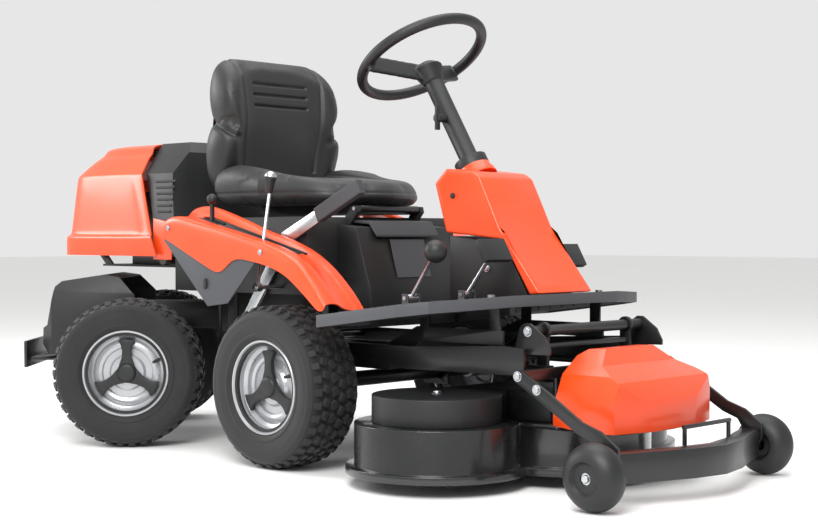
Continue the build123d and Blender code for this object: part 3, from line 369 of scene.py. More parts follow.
def plate(name: str, outline: Sequence[tuple[float, float]], axis: str, low: float, high: float) -> bpy.types.Object:
    """Cut a flat plate to an outline.

    Args:
        name: the piece's name.
        outline: corners in the plane across the axis: XZ for y, XY for z and YZ for x.
        axis: the direction of the plate's thickness.
        low: the lower face, in millimetres.
        high: the upper face, in millimetres.

    Returns:
        The closed plate.
    """
    place = {"y": lambda p, q, d: at(p, d, q), "z": lambda p, q, d: at(p, q, d), "x": lambda p, q, d: at(d, p, q)}[axis]
    clear_selection()
    bpy.ops.mesh.primitive_circle_add(vertices=len(outline), radius=0.1, fill_type="NGON")
    piece = settle(name)
    for vertex, (p, q) in zip(piece.data.vertices, outline):
        vertex.co = place(p, q, low)
    bpy.ops.object.mode_set(mode="EDIT")
    bpy.ops.mesh.select_all(action="SELECT")
    step = place(0, 0, high) - place(0, 0, low)
    bpy.ops.mesh.extrude_region_move(TRANSFORM_OT_translate={"value": step})
    bpy.ops.object.mode_set(mode="OBJECT")
    face_outwards(piece)
    return piece


def spin(
    name: str, profile: Sequence[tuple[float, float]], centre: Point, axis: Point, steps: int, closed: bool = False
) -> bpy.types.Object:
    """Turn a profile about an axis, as on a lathe.

    Args:
        name: the piece's name.
        profile: (radius, distance along the axis) corners, in millimetres.
        centre: the axis's origin, in machine millimetres.
        axis: the axis's direction.
        steps: how many steps go round.
        closed: whether the profile's ends join, as on a ring.

    Returns:
        The turned piece, facing outwards.
    """
    along = Vector(axis).normalized()
    across = along.orthogonal().normalized()
    middle = Vector(centre)
    clear_selection()
    bpy.ops.mesh.primitive_circle_add(vertices=len(profile), radius=0.1, fill_type="NOTHING")
    piece = settle(name)
    for vertex, (radius, distance) in zip(piece.data.vertices, profile):
        vertex.co = at(*(middle + across * radius + along * distance))
    bpy.ops.object.mode_set(mode="EDIT")
    if not closed:
        bpy.ops.mesh.select_all(action="DESELECT")
        bpy.ops.object.mode_set(mode="OBJECT")
        ends = {0, len(profile) - 1}
        for edge in piece.data.edges:
            edge.select = set(edge.vertices) == ends
        bpy.ops.object.mode_set(mode="EDIT")
        bpy.context.tool_settings.mesh_select_mode = (False, True, False)
        bpy.ops.mesh.delete(type="EDGE")
    bpy.context.tool_settings.mesh_select_mode = (True, False, False)
    bpy.ops.mesh.select_all(action="SELECT")
    bpy.ops.mesh.spin(steps=steps, angle=math.tau, center=at(*middle), axis=along)
    bpy.ops.object.mode_set(mode="OBJECT")
    face_outwards(piece)
    return smooth(piece)


def skin(name: str, rows: Sequence[Sequence[Point]], closed: bool = False, capped: bool = False) -> bpy.types.Object:
    """Lay a skin through rows of points, as over the stations of a boat.

    Args:
        name: the piece's name.
        rows: equally long rows of points, in machine millimetres.
        closed: whether each row is a ring.
        capped: whether the first and last ring get an end face.

    Returns:
        The skin; a closed one faces outwards.
    """
    clear_selection()
    columns = len(rows[0]) + (1 if closed else 0)
    bpy.ops.mesh.primitive_grid_add(x_subdivisions=columns - 1, y_subdivisions=len(rows) - 1, size=1)
    piece = settle(name)
    for index, vertex in enumerate(piece.data.vertices):
        row = rows[index // columns]
        vertex.co = at(*row[index % columns % len(row)])
    if closed:
        face_outwards(piece)
    if capped:
        bpy.ops.object.mode_set(mode="EDIT")
        bpy.ops.mesh.select_all(action="SELECT")
        bpy.ops.mesh.fill_holes(sides=0)
        bpy.ops.mesh.select_all(action="SELECT")
        bpy.ops.mesh.normals_make_consistent(inside=False)
        bpy.ops.object.mode_set(mode="OBJECT")
    return piece


def join(name: str, pieces: Iterable[bpy.types.Object]) -> bpy.types.Object:
    """Join pieces into one object, under one name."""
    pieces = list(pieces)
    take_up(pieces[0])
    for piece in pieces:
        piece.select_set(True)
    if len(pieces) > 1:
        bpy.ops.object.join()
    joined = bpy.context.object
    joined.name = name
    joined.data.name = name
    return joined


def twin(piece: bpy.types.Object, name: str, move: Matrix) -> bpy.types.Object:
    """Copy a piece with its own mesh, and move the copy's mesh."""
    copy = piece.copy()
    copy.data = piece.data.copy()
    copy.name = name
    copy.data.name = name
    bpy.context.scene.collection.objects.link(copy)
    copy.data.transform(move)
    if move.determinant() < 0:
        copy.data.flip_normals()
    return copy


def across(piece: bpy.types.Object, name: str) -> bpy.types.Object:
    """Copy a piece to the other side of the machine's middle plane."""
    middle = Matrix.Translation(ORIGIN)
    flip = middle @ Matrix.Diagonal((1.0, -1.0, 1.0, 1.0)) @ middle.inverted()
    return twin(piece, name, flip)


def turned(piece: bpy.types.Object, name: str, centre: Point, axis: Point, degrees: float) -> bpy.types.Object:
    """Copy a piece and turn the copy about an axis."""
    pivot = Matrix.Translation(at(*centre))
    return twin(piece, name, pivot @ Matrix.Rotation(math.radians(degrees), 4, Vector(axis)) @ pivot.inverted())


def bolt(name: str, centre: Point, direction: Point, radius: float = 8.0, height: float = 5.0) -> bpy.types.Object:
    """Make a hexagon bolt head on its washer, standing on a surface."""
    up = Vector(direction).normalized()
    foot = Vector(centre)
    washer = rod(name + "_washer", foot, foot + up * height * 0.25, radius * 1.3, 16)
    head = rod(name + "_head", foot + up * height * 0.25, foot + up * height, radius, 6)
    apply_modifier(head, "BEVEL", width=radius * 0.12 * MM, segments=1)
    return join(name, [washer, head])


def fit(
    piece: bpy.types.Object, body: str, finish: Finish, *nodes: str, slot: str | None = None
) -> bpy.types.Object:
    """Paint a piece, let it ride on its body and stand for CAD nodes.

    Args:
        piece: the finished piece.
        body: the body that it moves with.
        finish: its finish.
        *nodes: the CAD nodes that it stands for.
        slot: the record's material slot; not used.

    Returns:
        The same piece.
    """
    paint(piece, finish)
    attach(piece, body)
    if nodes:
        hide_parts(*nodes)
    LOG.info("%s rides on %s, %d faces", piece.name, body, len(piece.data.polygons))
    return piece


EDGE_DEGREES = 28.0
SHADE_DEGREES = 35.0
WELD_MM = 0.01


def soften(node: str, radius_mm: float, name: str, steps: int = 2, flat_degrees: float = 1.0) -> bpy.types.Object:
    """Copy a CAD node's mesh, weld it and round its edges as a mould or press leaves them.

    Args:
        node: the CAD node to start from.
        radius_mm: the edge radius.
        name: the new piece's name.
        steps: how many facets each rounded edge has.
        flat_degrees: faces nearer to one plane than this become one face first.

    Returns:
        The new piece; the node itself is left alone.
    """
    clear_selection()
    source = frame["nodes"][node]
    piece = bpy.data.objects.new(name, source.data.copy())
    piece.data.name = name
    bpy.context.scene.collection.objects.link(piece)
    take_up(piece)
    bpy.ops.object.mode_set(mode="EDIT")
    bpy.ops.mesh.select_all(action="SELECT")
    bpy.ops.mesh.remove_doubles(threshold=WELD_MM * MM)
    bpy.ops.mesh.dissolve_limited(angle_limit=math.radians(flat_degrees))
    bpy.ops.object.mode_set(mode="OBJECT")
    sharp = math.radians(EDGE_DEGREES)
    apply_modifier(piece, "BEVEL", width=radius_mm * MM, segments=steps, limit_method="ANGLE", angle_limit=sharp)
    return smooth(piece, SHADE_DEGREES)


def fill_box(piece: bpy.types.Object, node: str, over_mm: float = 0.0) -> bpy.types.Object:
    """Stretch a piece's mesh so that it fills the box of the CAD node that it stands for.

    Args:
        piece: the piece, still unparented.
        node: the CAD node whose box counts.
        over_mm: how far the piece may stand out of that box on every side.

    Returns:
        The same piece.
    """
    low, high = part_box(node)
    margin = Vector((over_mm, over_mm, over_mm)) * MM
    low, high = low - margin, high + margin
    own = [piece.matrix_world @ vertex.co for vertex in piece.data.vertices]
    own_low = Vector(min(p[axis] for p in own) for axis in range(3))
    own_high = Vector(max(p[axis] for p in own) for axis in range(3))
    scale = [(high[axis] - low[axis]) / (own_high[axis] - own_low[axis]) for axis in range(3)]
    stretch = Matrix.Diagonal((*scale, 1.0))
    piece.data.transform(Matrix.Translation(low) @ stretch @ Matrix.Translation(-own_low))
    return piece


def paint_near(piece: bpy.types.Object, finish: Finish, centre: Point, reach_mm: float) -> None:
    """Give a second finish to the faces of a piece that lie near a point.

    Args:
        piece: the piece, already painted once.
        finish: the second finish.
        centre: the point, in millimetres.
        reach_mm: how far from it the finish reaches.
    """
    piece.data.materials.append(finish.material())
    last = len(piece.data.materials) - 1
    spot = at(*centre)
    for face in piece.data.polygons:
        if (face.center - spot).length < reach_mm * MM:
            face.material_index = last


# ---- wheels -------------------------------------------------------------------------------------
@dataclass
class RoadWheel:
    """Turf tyre on a pressed rim, drawn at the front right and carried to the other corners."""

    centre: tuple[float, float, float] = (0.0, -367.0, 200.0)
    pivot: tuple[float, float, float] = (-630.0, 0.0, 0.0)
    carriage_yaw: float = 43.8
    rear_axle: tuple[float, float] = (-249.0, -309.0)
    tread_radius: float = 199.4
    lugs: int = 38
    seat_radius: float = 101.0
    flange_radius: float = 116.0
    flange_half: float = 70.0
    disc_depth: float = 36.0

    def turn_on_axle(self, profile: Sequence[tuple[float, float]], name: str, closed: bool) -> bpy.types.Object:
        """Turn a profile of (radius, outward distance) about the axle."""
        return spin(name, profile, self.centre, (0, -1, 0), 96, closed)

    def carcass(self) -> bpy.types.Object:
        """Turn the tyre's body, with a rim guard and a step on each side wall."""
        half = [
            (102, 64.5), (114, 65.8), (119, 69.5), (124, 75.0), (128, 77.4), (131, 77.6), (133, 76.4), (150, 79.4),
            (163, 80.2), (166, 79.4), (169, 80.2), (177, 78.6), (184, 74.0), (189, 64.0), (191.5, 42.0), (192.5, 15.0),
        ]
        profile = half + [(r, -d) for r, d in reversed(half)]
        return self.turn_on_axle(profile, "tyre_carcass", True)

    def lug(self, name: str, size: Point, outward: float, angle: float, lean: float, twist: float) -> bpy.types.Object:
        """Mould one tread block.

        Args:
            name: its name.
            size: length round the tyre, width and depth, in millimetres.
            outward: its middle's distance from the wheel's middle plane.
            angle: its place round the tyre, in degrees.
            lean: how far it tips over the shoulder, in degrees.
            twist: how far it is turned in the tread, in degrees.

        Returns:
            The block on the tyre.
        """
        cx, cy, cz = self.centre
        length, width, depth = size
        block_piece = block(name, (-length / 2, -width / 2, -depth), (length / 2, width / 2, 0))
        take_up(block_piece)
        bpy.ops.object.mode_set(mode="EDIT")
        bpy.ops.mesh.select_all(action="DESELECT")
        bpy.ops.object.mode_set(mode="OBJECT")
        for face in block_piece.data.polygons:
            face.select = face.normal.z > 0.9
        bpy.ops.object.mode_set(mode="EDIT")
        bpy.context.tool_settings.mesh_select_mode = (False, False, True)
        bpy.ops.transform.resize(value=(0.84, 0.84, 1.0), center_override=at(0, 0, 0))
        bpy.context.tool_settings.mesh_select_mode = (True, False, False)
        bpy.ops.object.mode_set(mode="OBJECT")
        apply_modifier(block_piece, "BEVEL", width=1.4 * MM, segments=1)
        radius = self.tread_radius if lean == 0 else self.tread_radius - 5.5
        seat = Matrix.Translation(at(cx, cy - outward, cz + radius))
        tip = Matrix.Rotation(math.radians(lean), 4, "X") @ Matrix.Rotation(math.radians(twist), 4, "Z")
        block_piece.data.transform(seat @ tip @ Matrix.Translation(-ORIGIN))
        return turned(block_piece, name + "_set", self.centre, (0, 1, 0), angle)

    def tread(self) -> bpy.types.Object:
        """Set the lugs round the tyre in staggered rows."""
        pitch = 360.0 / self.lugs
        patterns = []
        for side in (-1, 1):
            patterns += [
                ((22, 18, 9), side * 13.0, 0.5 if side > 0 else 0.0, 0, 28 * side),
                ((21, 19, 9), side * 38.0, 0.25 if side > 0 else 0.75, 0, -24 * side),
                ((19, 22, 13), side * 63.0, 0.5 if side > 0 else 0.0, 34 * side, 0),
            ]
        first, rows = [], []
        for index, (size, outward, stagger, lean, twist) in enumerate(patterns):
            name = f"lug_{index}"
            first.append(self.lug(name, size, outward, stagger * pitch, lean, twist))
            bpy.data.objects.remove(bpy.data.objects[name])
        station = join("lug_station", first)
        for step in range(1, self.lugs):
            rows.append(turned(station, f"lug_station_{step}", self.centre, (0, 1, 0), step * pitch))
        return join("tread", [station, *rows])

    def tyre(self) -> bpy.types.Object:
        """Make the whole tyre."""
        return smooth(join("front_right_turf_tyre", [self.carcass(), self.tread()]), 30)

    def rim(self) -> bpy.types.Object:
        """Roll the rim with its stepped well and weld in the dished disc."""
        flange, seat, half = self.flange_radius, self.seat_radius, self.flange_half
        side = [
            (flange - 1.0, half - 4.2), (flange, half - 1.4), (flange - 1.5, half), (flange - 5.0, half - 0.6),
            (seat + 8.0, half - 5.0), (seat + 4.0, half - 11.0), (seat + 1.0, half - 15.0), (seat - 0.5, half - 26.0),
            (seat - 5.0, half - 30.0), (seat - 9.0, half - 32.0), (seat - 10.0, half - 44.0),
        ]
        barrel = self.turn_on_axle(side + [(r, -d) for r, d in reversed(side)], "rim_barrel", False)
        apply_modifier(barrel, "SOLIDIFY", thickness=2.6 * MM, offset=-1.0)
        depth = self.disc_depth
        dish = [
            (seat - 10.0, depth - 5), (seat - 16.0, depth - 1), (seat - 24.0, depth + 1), (seat - 31.0, depth - 1.5),
            (seat - 34.0, depth - 7.0), (seat - 52.0, depth - 6.0), (seat - 58.0, depth + 0.5), (28.0, depth + 2.0),
            (27.0, depth + 4.0), (14.5, depth + 4.0),
        ]
        disc = self.turn_on_axle(dish, "rim_disc", False)
        apply_modifier(disc, "SOLIDIFY", thickness=3.0 * MM, offset=0.0)
        cx, cy, cz = self.centre
        hub = rod("rim_hub", (cx, cy - depth - 3, cz), (cx, cy + 46, cz), 25.5, 48)
        round_edges(hub, 1.5)
        wheel = join("front_right_silver_rim", [barrel, disc, hub])
        face_outwards(wheel)
        return smooth(wheel, 30)

    def trim(self) -> bpy.types.Object:
        """Mould the three-spoke cover with its round cap."""
        cx, cy, cz = self.centre
        near, far = cy - self.disc_depth - 4.5, cy - self.disc_depth - 17.0
        outline = [
            (-23, 0), (-20, 22), (-13.5, 40), (-12.0, 60), (-15.0, 74), (-23, 88), (0, 91), (23, 88), (15.0, 74),
            (12.0, 60), (13.5, 40), (20, 22), (23, 0),
        ]
        spoke = plate("trim_spoke", [(cx + x, cz + z) for x, z in outline], "y", far, near)
        round_edges(spoke, 2.5)
        spokes = [spoke]
        for count in (1, 2):
            spokes.append(turned(spoke, f"trim_spoke_{count}", self.centre, (0, 1, 0), 120 * count))
        depth = self.disc_depth
        cap = self.turn_on_axle(
            [(0, depth + 24), (16, depth + 23.6), (22, depth + 22.4), (25.5, depth + 19), (27, depth + 13),
             (27, depth + 4.5), (0, depth + 4.5)],
            "trim_cap",
            False,
        )
        return join("front_right_hub_cover", [*spokes, cap])

    def valve(self) -> bpy.types.Object:
        """Stand the rubber valve stem in the rim's well."""
        cx, cy, cz = self.centre
        a = math.radians(22)
        seat = (cx + 92 * math.cos(a), cy - 38, cz + 92 * math.sin(a))
        tip = (cx + 80 * math.cos(a), cy - 66, cz + 80 * math.sin(a))
        neck = tuple(s + (t - s) * 0.62 for s, t in zip(seat, tip))
        stem = rod("valve_stem", seat, neck, 5.2, 20)
        cap = rod("valve_cap", neck, tip, 4.0, 12)
        return smooth(join("front_right_valve", [round_edges(stem, 1.2), round_edges(cap, 1.0)]))

    def to_rear(self) -> Matrix:
        """Work out the move from the front right corner to the rear right one."""
        back, side = self.rear_axle
        goal = Matrix.Translation(at(*self.pivot)) @ Matrix.Rotation(math.radians(self.carriage_yaw), 4, "Z")
        return goal @ Matrix.Translation(Vector((back, side, self.centre[2])) * MM) @ Matrix.Translation(
            -at(*self.centre)
        )

    def far_side(self, half_track: float, back: float, rear: bool) -> Matrix:
        """Work out the turn that carries a right wheel to the left end of its axle."""
        spin_half = Matrix.Rotation(math.pi, 4, "Z")
        middle = Vector((back, 0, self.centre[2])) * MM
        if rear:
            hub = Matrix.Translation(at(*self.pivot)) @ Matrix.Rotation(math.radians(self.carriage_yaw), 4, "Z")
            frame_of_axle = hub @ Matrix.Translation(middle)
        else:
            frame_of_axle = Matrix.Translation(ORIGIN + middle)
        right = Matrix.Translation(Vector((0, half_track, 0)) * MM)
        return frame_of_axle @ right @ spin_half @ Matrix.Translation(-at(*self.centre))

    def build(self) -> None:
        """Make one wheel and carry it to the other three corners."""
        moves = {
            "front_left": self.far_side(-self.centre[1], 0.0, False),
            "rear_right": self.to_rear(),
            "rear_left": self.far_side(-self.rear_axle[1], self.rear_axle[0], True),
        }
        pieces = [
            (self.tyre(), Paint.TYRE, "tyre", "tyre_rubber"),
            (self.rim(), Paint.SILVER, "rim", "rim_silver"),
            (self.trim(), Paint.BLACK, "trim", "black_plastic"),
            (self.valve(), Paint.GRIP, None, "grip_rubber"),
        ]
        for piece, finish, node, slot in pieces:
            for corner, move in moves.items():
                copy = twin(piece, piece.name.replace("front_right", corner), move)
                body = corner.split("_")[0] + "_wheel_" + corner.split("_")[1]
                fit(copy, body, finish, *([f"{corner}_{node}"] if node else []), slot=slot)
            fit(piece, "front_wheel_right", finish, *([f"front_right_{node}"] if node else []), slot=slot)
        for side, name in ((-1, "right"), (1, "left")):
            hub = Matrix.Translation(at(*self.pivot)) @ Matrix.Rotation(math.radians(self.carriage_yaw), 4, "Z")
            shaft = rod(f"rear_{name}_half_shaft", (0, side * 150, 0), (0, side * 300, 0), 12.4, 32)
            shaft.data.transform(hub @ Matrix.Translation(Vector((self.rear_axle[0], 0, 200)) * MM - ORIGIN))
            fit(shaft, f"rear_wheel_{name}", Paint.ZINC, slot="zinc_steel")


# ---- seat ---------------------------------------------------------------------------------------
@dataclass
class DriverSeat:
    """High-backed seat: two padded mouldings in vinyl, blown up as cloth and then channelled."""

    half_width: float = 219.0
    cushion_low: float = 656.0
    voxel_mm: float = 5.0
    swell_mm: float = 7.0
    slits: tuple[float, ...] = (983.0, 955.0, 927.0)
    slit_half: float = 92.0

    def inflate(self, piece: bpy.types.Object, seams: Callable[[Vector], float]) -> bpy.types.Object:
        """Blow a closed cage up as cloth, limit the swelling and press the seams in.

        Args:
            piece: the closed cage, a little smaller than the finished pad.
            seams: how deep the skin is drawn in at a point, in millimetres.

        Returns:
            The finished pad.
        """
        apply_modifier(piece, "SUBSURF", levels=2, render_levels=2)
        apply_modifier(piece, "REMESH", mode="VOXEL", voxel_size=self.voxel_mm * MM)
        start = [vertex.co.copy() for vertex in piece.data.vertices]
        take_up(piece)
        cloth = piece.modifiers.new("Cloth", "CLOTH")
        cloth.settings.use_pressure = True
        cloth.settings.uniform_pressure_force = 4.0
        cloth.settings.effector_weights.gravity = 0.0
        cloth.settings.quality = 4
        cloth.point_cache.frame_end = 20
        for step in range(1, 21):
            bpy.context.scene.frame_set(step)
        bpy.ops.object.modifier_apply(modifier=cloth.name)
        bpy.context.scene.frame_set(1)
        limit = self.swell_mm * MM
        for vertex, origin in zip(piece.data.vertices, start):
            moved = vertex.co - origin
            if moved.length > limit:
                vertex.co = origin + moved.normalized() * limit
        apply_modifier(piece, "SMOOTH", factor=0.5, iterations=2)
        subdivide(piece, 1)
        piece.data.update()
        inward = [-vertex.normal.copy() for vertex in piece.data.vertices]
        for vertex, way in zip(piece.data.vertices, inward):
            vertex.co += way * seams((vertex.co - ORIGIN) / MM) * MM
        return smooth(piece, 80)

    @staticmethod
    def groove(distance: float, width: float, depth: float) -> float:
        """Shape a sewn channel: full depth at its middle, nothing past its width."""
        return depth * math.exp(-((distance / width) ** 2))

    def back_seams(self, p: Vector) -> float:
        """Draw in the three slits, the panel seams and the side notches of the seat back."""
        depth = 0.0
        if p.x > -505 and abs(p.y) < self.slit_half + 6:
            fade = min(1.0, max(0.0, (self.slit_half + 4 - abs(p.y)) / 8))
            for height in self.slits:
                depth += fade * self.groove(p.z - height, 3.6, 7.0)
        if p.x > -505 and 760 < p.z < 1046:
            depth += self.groove(abs(p.y) - (128 + 0.06 * (p.z - 900)), 5.0, 3.5)
        if abs(p.y) > 140:
            line = p.z - (868 + 0.35 * (abs(p.y) - 180) - 0.42 * (p.x + 455))
            depth += self.groove(line, 9.0, 9.0) * min(1.0, (abs(p.y) - 140) / 40)
        if p.x > -505 and abs(p.y) < 150:
            depth += self.groove(p.z - (742 - 0.0004 * p.y * p.y), 4.5, 3.0)
        return depth

    def cushion_seams(self, p: Vector) -> float:
        """Draw in the seams that part the cushion's middle from its raised sides."""
        depth = 0.0
        if p.z > 690:
            depth += self.groove(abs(p.y) - 150, 5.0, 3.0)
            if abs(p.y) < 152:
                depth += self.groove(p.x + 118, 4.5, 2.2)
        if p.z < 690:
            depth += self.groove(p.z - 678, 3.5, 2.0)
        return depth

    def back(self) -> bpy.types.Object:
        """Pad the seat back between its side wings."""
        stations = [
            # height, half width, front face, rear face, wing reach
            (694, 150, -452, -494, 2), (702, 176, -450, -498, 12), (735, 205, -450, -501, 26),
            (780, 213, -450, -503, 36), (830, 215, -444, -503, 40), (862, 204, -438, -503, 30),
            (884, 196, -434, -503, 26), (915, 203, -435, -504, 32), (960, 203, -441, -505, 34),
            (1000, 194, -446, -504, 26), (1030, 180, -452, -502, 12), (1048, 152, -464, -497, 2),
            (1053, 130, -474, -490, 0),
        ]
        rows = []
        for z, half, face, rear, wing in stations:
            lift = 0.0
            rim = min(face + wing, -397)
            side = [
                (face, 0.0), (face, 0.34), (face + 1, 0.56), (face + wing * 0.45, 0.68), (rim, 0.80),
                (rim - 3, 0.92), ((face + rear) / 2 + wing * 0.4, 1.0), (rear + 8, 0.94), (rear, 0.74), (rear, 0.36),
                (rear, 0.0),
            ]
            left = [(x, half * share, z + lift) for x, share in side]
            right = [(x, -half * share, z + lift) for x, share in reversed(side[1:-1])]
            rows.append(left + right)
        cage = skin("seat_back_pad", rows, closed=True, capped=True)
        return self.inflate(cage, self.back_seams)

    def cushion(self) -> bpy.types.Object:
        """Pad the cushion, higher along its sides and rounded over at the front."""
        low = self.cushion_low
        stations = [
            # place, half width, floor, middle, side height
            (-434, 196, 676, 700, 724), (-430, 216, 668, 706, 740), (-405, 224, low + 2, 708, 748),
            (-350, 226, low, 708, 747), (-285, 227, low, 707, 737), (-215, 227, low, 706, 722),
            (-140, 226, low, 707, 711), (-70, 224, low, 706, 706), (-20, 214, low, 697, 697),
            (4, 196, low + 3, 684, 684), (14, 170, low + 9, 673, 673),
        ]
        rows = []
        for x, half, floor, middle, side in stations:
            height = side - floor
            ring = [
                (0.0, middle), (0.34, middle - 1), (0.60, middle + (side - middle) * 0.15),
                (0.74, middle + (side - middle) * 0.8), (0.86, side), (0.97, side - height * 0.18),
                (1.0, floor + height * 0.45), (0.97, floor + height * 0.15), (0.86, floor), (0.5, floor), (0.0, floor),
            ]
            left = [(x, half * share, z) for share, z in ring]
            right = [(x, -half * share, z) for share, z in reversed(ring[1:-1])]
            rows.append(left + right)
        cage = skin("seat_cushion_pad", rows, closed=True, capped=True)
        return self.inflate(cage, self.cushion_seams)

    def shell(self) -> bpy.types.Object:
        """Mould the thin black shell behind the seat back."""
        rows = []
        for z, half in ((712, 150), (760, 188), (850, 184), (930, 176), (1000, 160), (1030, 130)):
            rows.append([(-505.5 + 3 * abs(share), half * share, z) for share in (-1, -0.8, -0.4, 0, 0.4, 0.8, 1)])
        piece = skin("seat_back_shell", rows)
        apply_modifier(piece, "SOLIDIFY", thickness=3.0 * MM, offset=0.0)
        return subdivide(piece, 2)

    @staticmethod
    def round_front(piece: bpy.types.Object) -> bpy.types.Object:
        """Draw the cushion's front corners back, so that it is rounded as seen from above."""
        for vertex in piece.data.vertices:
            spot = (vertex.co - ORIGIN) / MM
            share = min(max((spot.x + 250) / 274, 0.0), 1.0)
            aside = min(abs(spot.y) / 235, 1.0)
            vertex.co.x -= share * 95 * aside**1.5 * MM
            vertex.co.y -= share * 38 * aside**2 * MM * math.copysign(1, spot.y)
        piece.data.update()
        return piece

    def build(self) -> None:
        """Make both pads and the shell."""
        back = fit(fill_box(self.back(), "seat_back", 3.0), "seat", Paint.VINYL, "seat_back", slot="black_vinyl")
        cushion = self.round_front(fill_box(self.cushion(), "seat_cushion", 2.0))
        fit(cushion, "seat", Paint.VINYL, "seat_cushion", slot="black_vinyl")
        fit(self.shell(), "seat", Paint.BLACK, slot="black_plastic")


# ---- engine hood --------------------------------------------------------------------------------
@dataclass
class EngineHood:
    """Orange hood: one thin moulding that wraps the engine, with a band round its foot."""

    wall_mm: float = 3.6

    def level(self, half: float, rear: float, front: float, height: float, bulge: float = 0.0) -> list[Point]:
        """Lay one level of the hood, from its right front edge round the back to the left.

        Args:
            half: half width in millimetres.
            rear: where the back lies.
            front: where the front edge lies.
            height: its height.
            bulge: how far the strip beside the front edge stands out.

        Returns:
            The level's points.
        """
        corner = half / 300.0
        right = [
            (front, -half - bulge * 0.4), (front - 10, -half - bulge), (front - 44, -half - bulge),
            (front - 54, -half), ((front + rear) / 2, -half - 0.5), (rear + 110, -half),
            (rear + 62, -half + 3 * corner), (rear + 28, -half + 18 * corner), (rear + 8, -half + 52 * corner),
            (rear + 2, -half + 96 * corner), (rear, -half * 0.36), (rear - 1, 0),
        ]
        left = [(x, -y) for x, y in reversed(right[:-1])]
        return [(x, y, height) for x, y in right + left]

    def shell(self) -> bpy.types.Object:
        """Skin the hood from its foot to the ridge of its roof."""
        levels = [
            self.level(299.4, -1099.5, -607, 512.5), self.level(299.6, -1099.5, -608, 516),
            self.level(299.6, -1099.5, -630, 562), self.level(298.6, -1099.0, -633, 567),
            self.level(289.0, -1092.0, -637, 572, 5), self.level(286.5, -1091.0, -642, 580, 5),
            self.level(276.0, -1089.0, -680, 664, 4), self.level(266.5, -1086.0, -712, 738, 3),
            self.level(264.0, -1084.5, -718, 745, 2), self.level(256.0, -1080.0, -722, 753, 0),
            self.level(232.0, -1066.0, -738, 778), self.level(209.0, -1050.0, -752, 799),
            self.level(196.0, -1046.0, -758, 806), self.level(186.0, -1044.0, -768, 821),
            self.level(176.0, -1040.0, -776, 829), self.level(140.0, -1008.0, -790, 838.5),
        ]
        ridge = [(x, y * 0.5, min(z + 1.5, 841)) for x, y, z in levels[-1]]
        centre = [(x, y * 0.02, min(z + 2.0, 841.3)) for x, y, z in levels[-1]]
        piece = skin("hood_orange_shell", [*levels, ridge, centre])
        take_up(piece)
        bpy.ops.object.mode_set(mode="EDIT")
        bpy.ops.mesh.select_all(action="SELECT")
        bpy.ops.mesh.remove_doubles(threshold=0.5 * MM)
        bpy.ops.mesh.normals_make_consistent(inside=False)
        bpy.ops.object.mode_set(mode="OBJECT")
        subdivide(piece, 2)
        apply_modifier(piece, "SOLIDIFY", thickness=self.wall_mm * MM, offset=-1.0)
        return smooth(piece, 40)

    def ears(self) -> bpy.types.Object:
        """Fold the two hinge ears inside the back of the hood."""
        lugs = []
        for side in (-1, 1):
            y_low, y_high = sorted((side * 160, side * 188))
            lug = rod(f"hood_ear_{side}", (-1080, y_low, 530), (-1080, y_high, 530), 9, 24)
            web = block(f"hood_ear_web_{side}", (-1096, y_low, 522), (-1082, y_high, 538))
            lugs += [lug, web]
        return round_edges(join("hood_hinge_ears", lugs), 0.8)

    def build(self) -> None:
        """Make the hood."""
        fit(self.shell(), "hood", Paint.ORANGE, "hood_shell", slot="orange_plastic")
        fit(self.ears(), "hood", Paint.BLACK, slot="black_plastic")


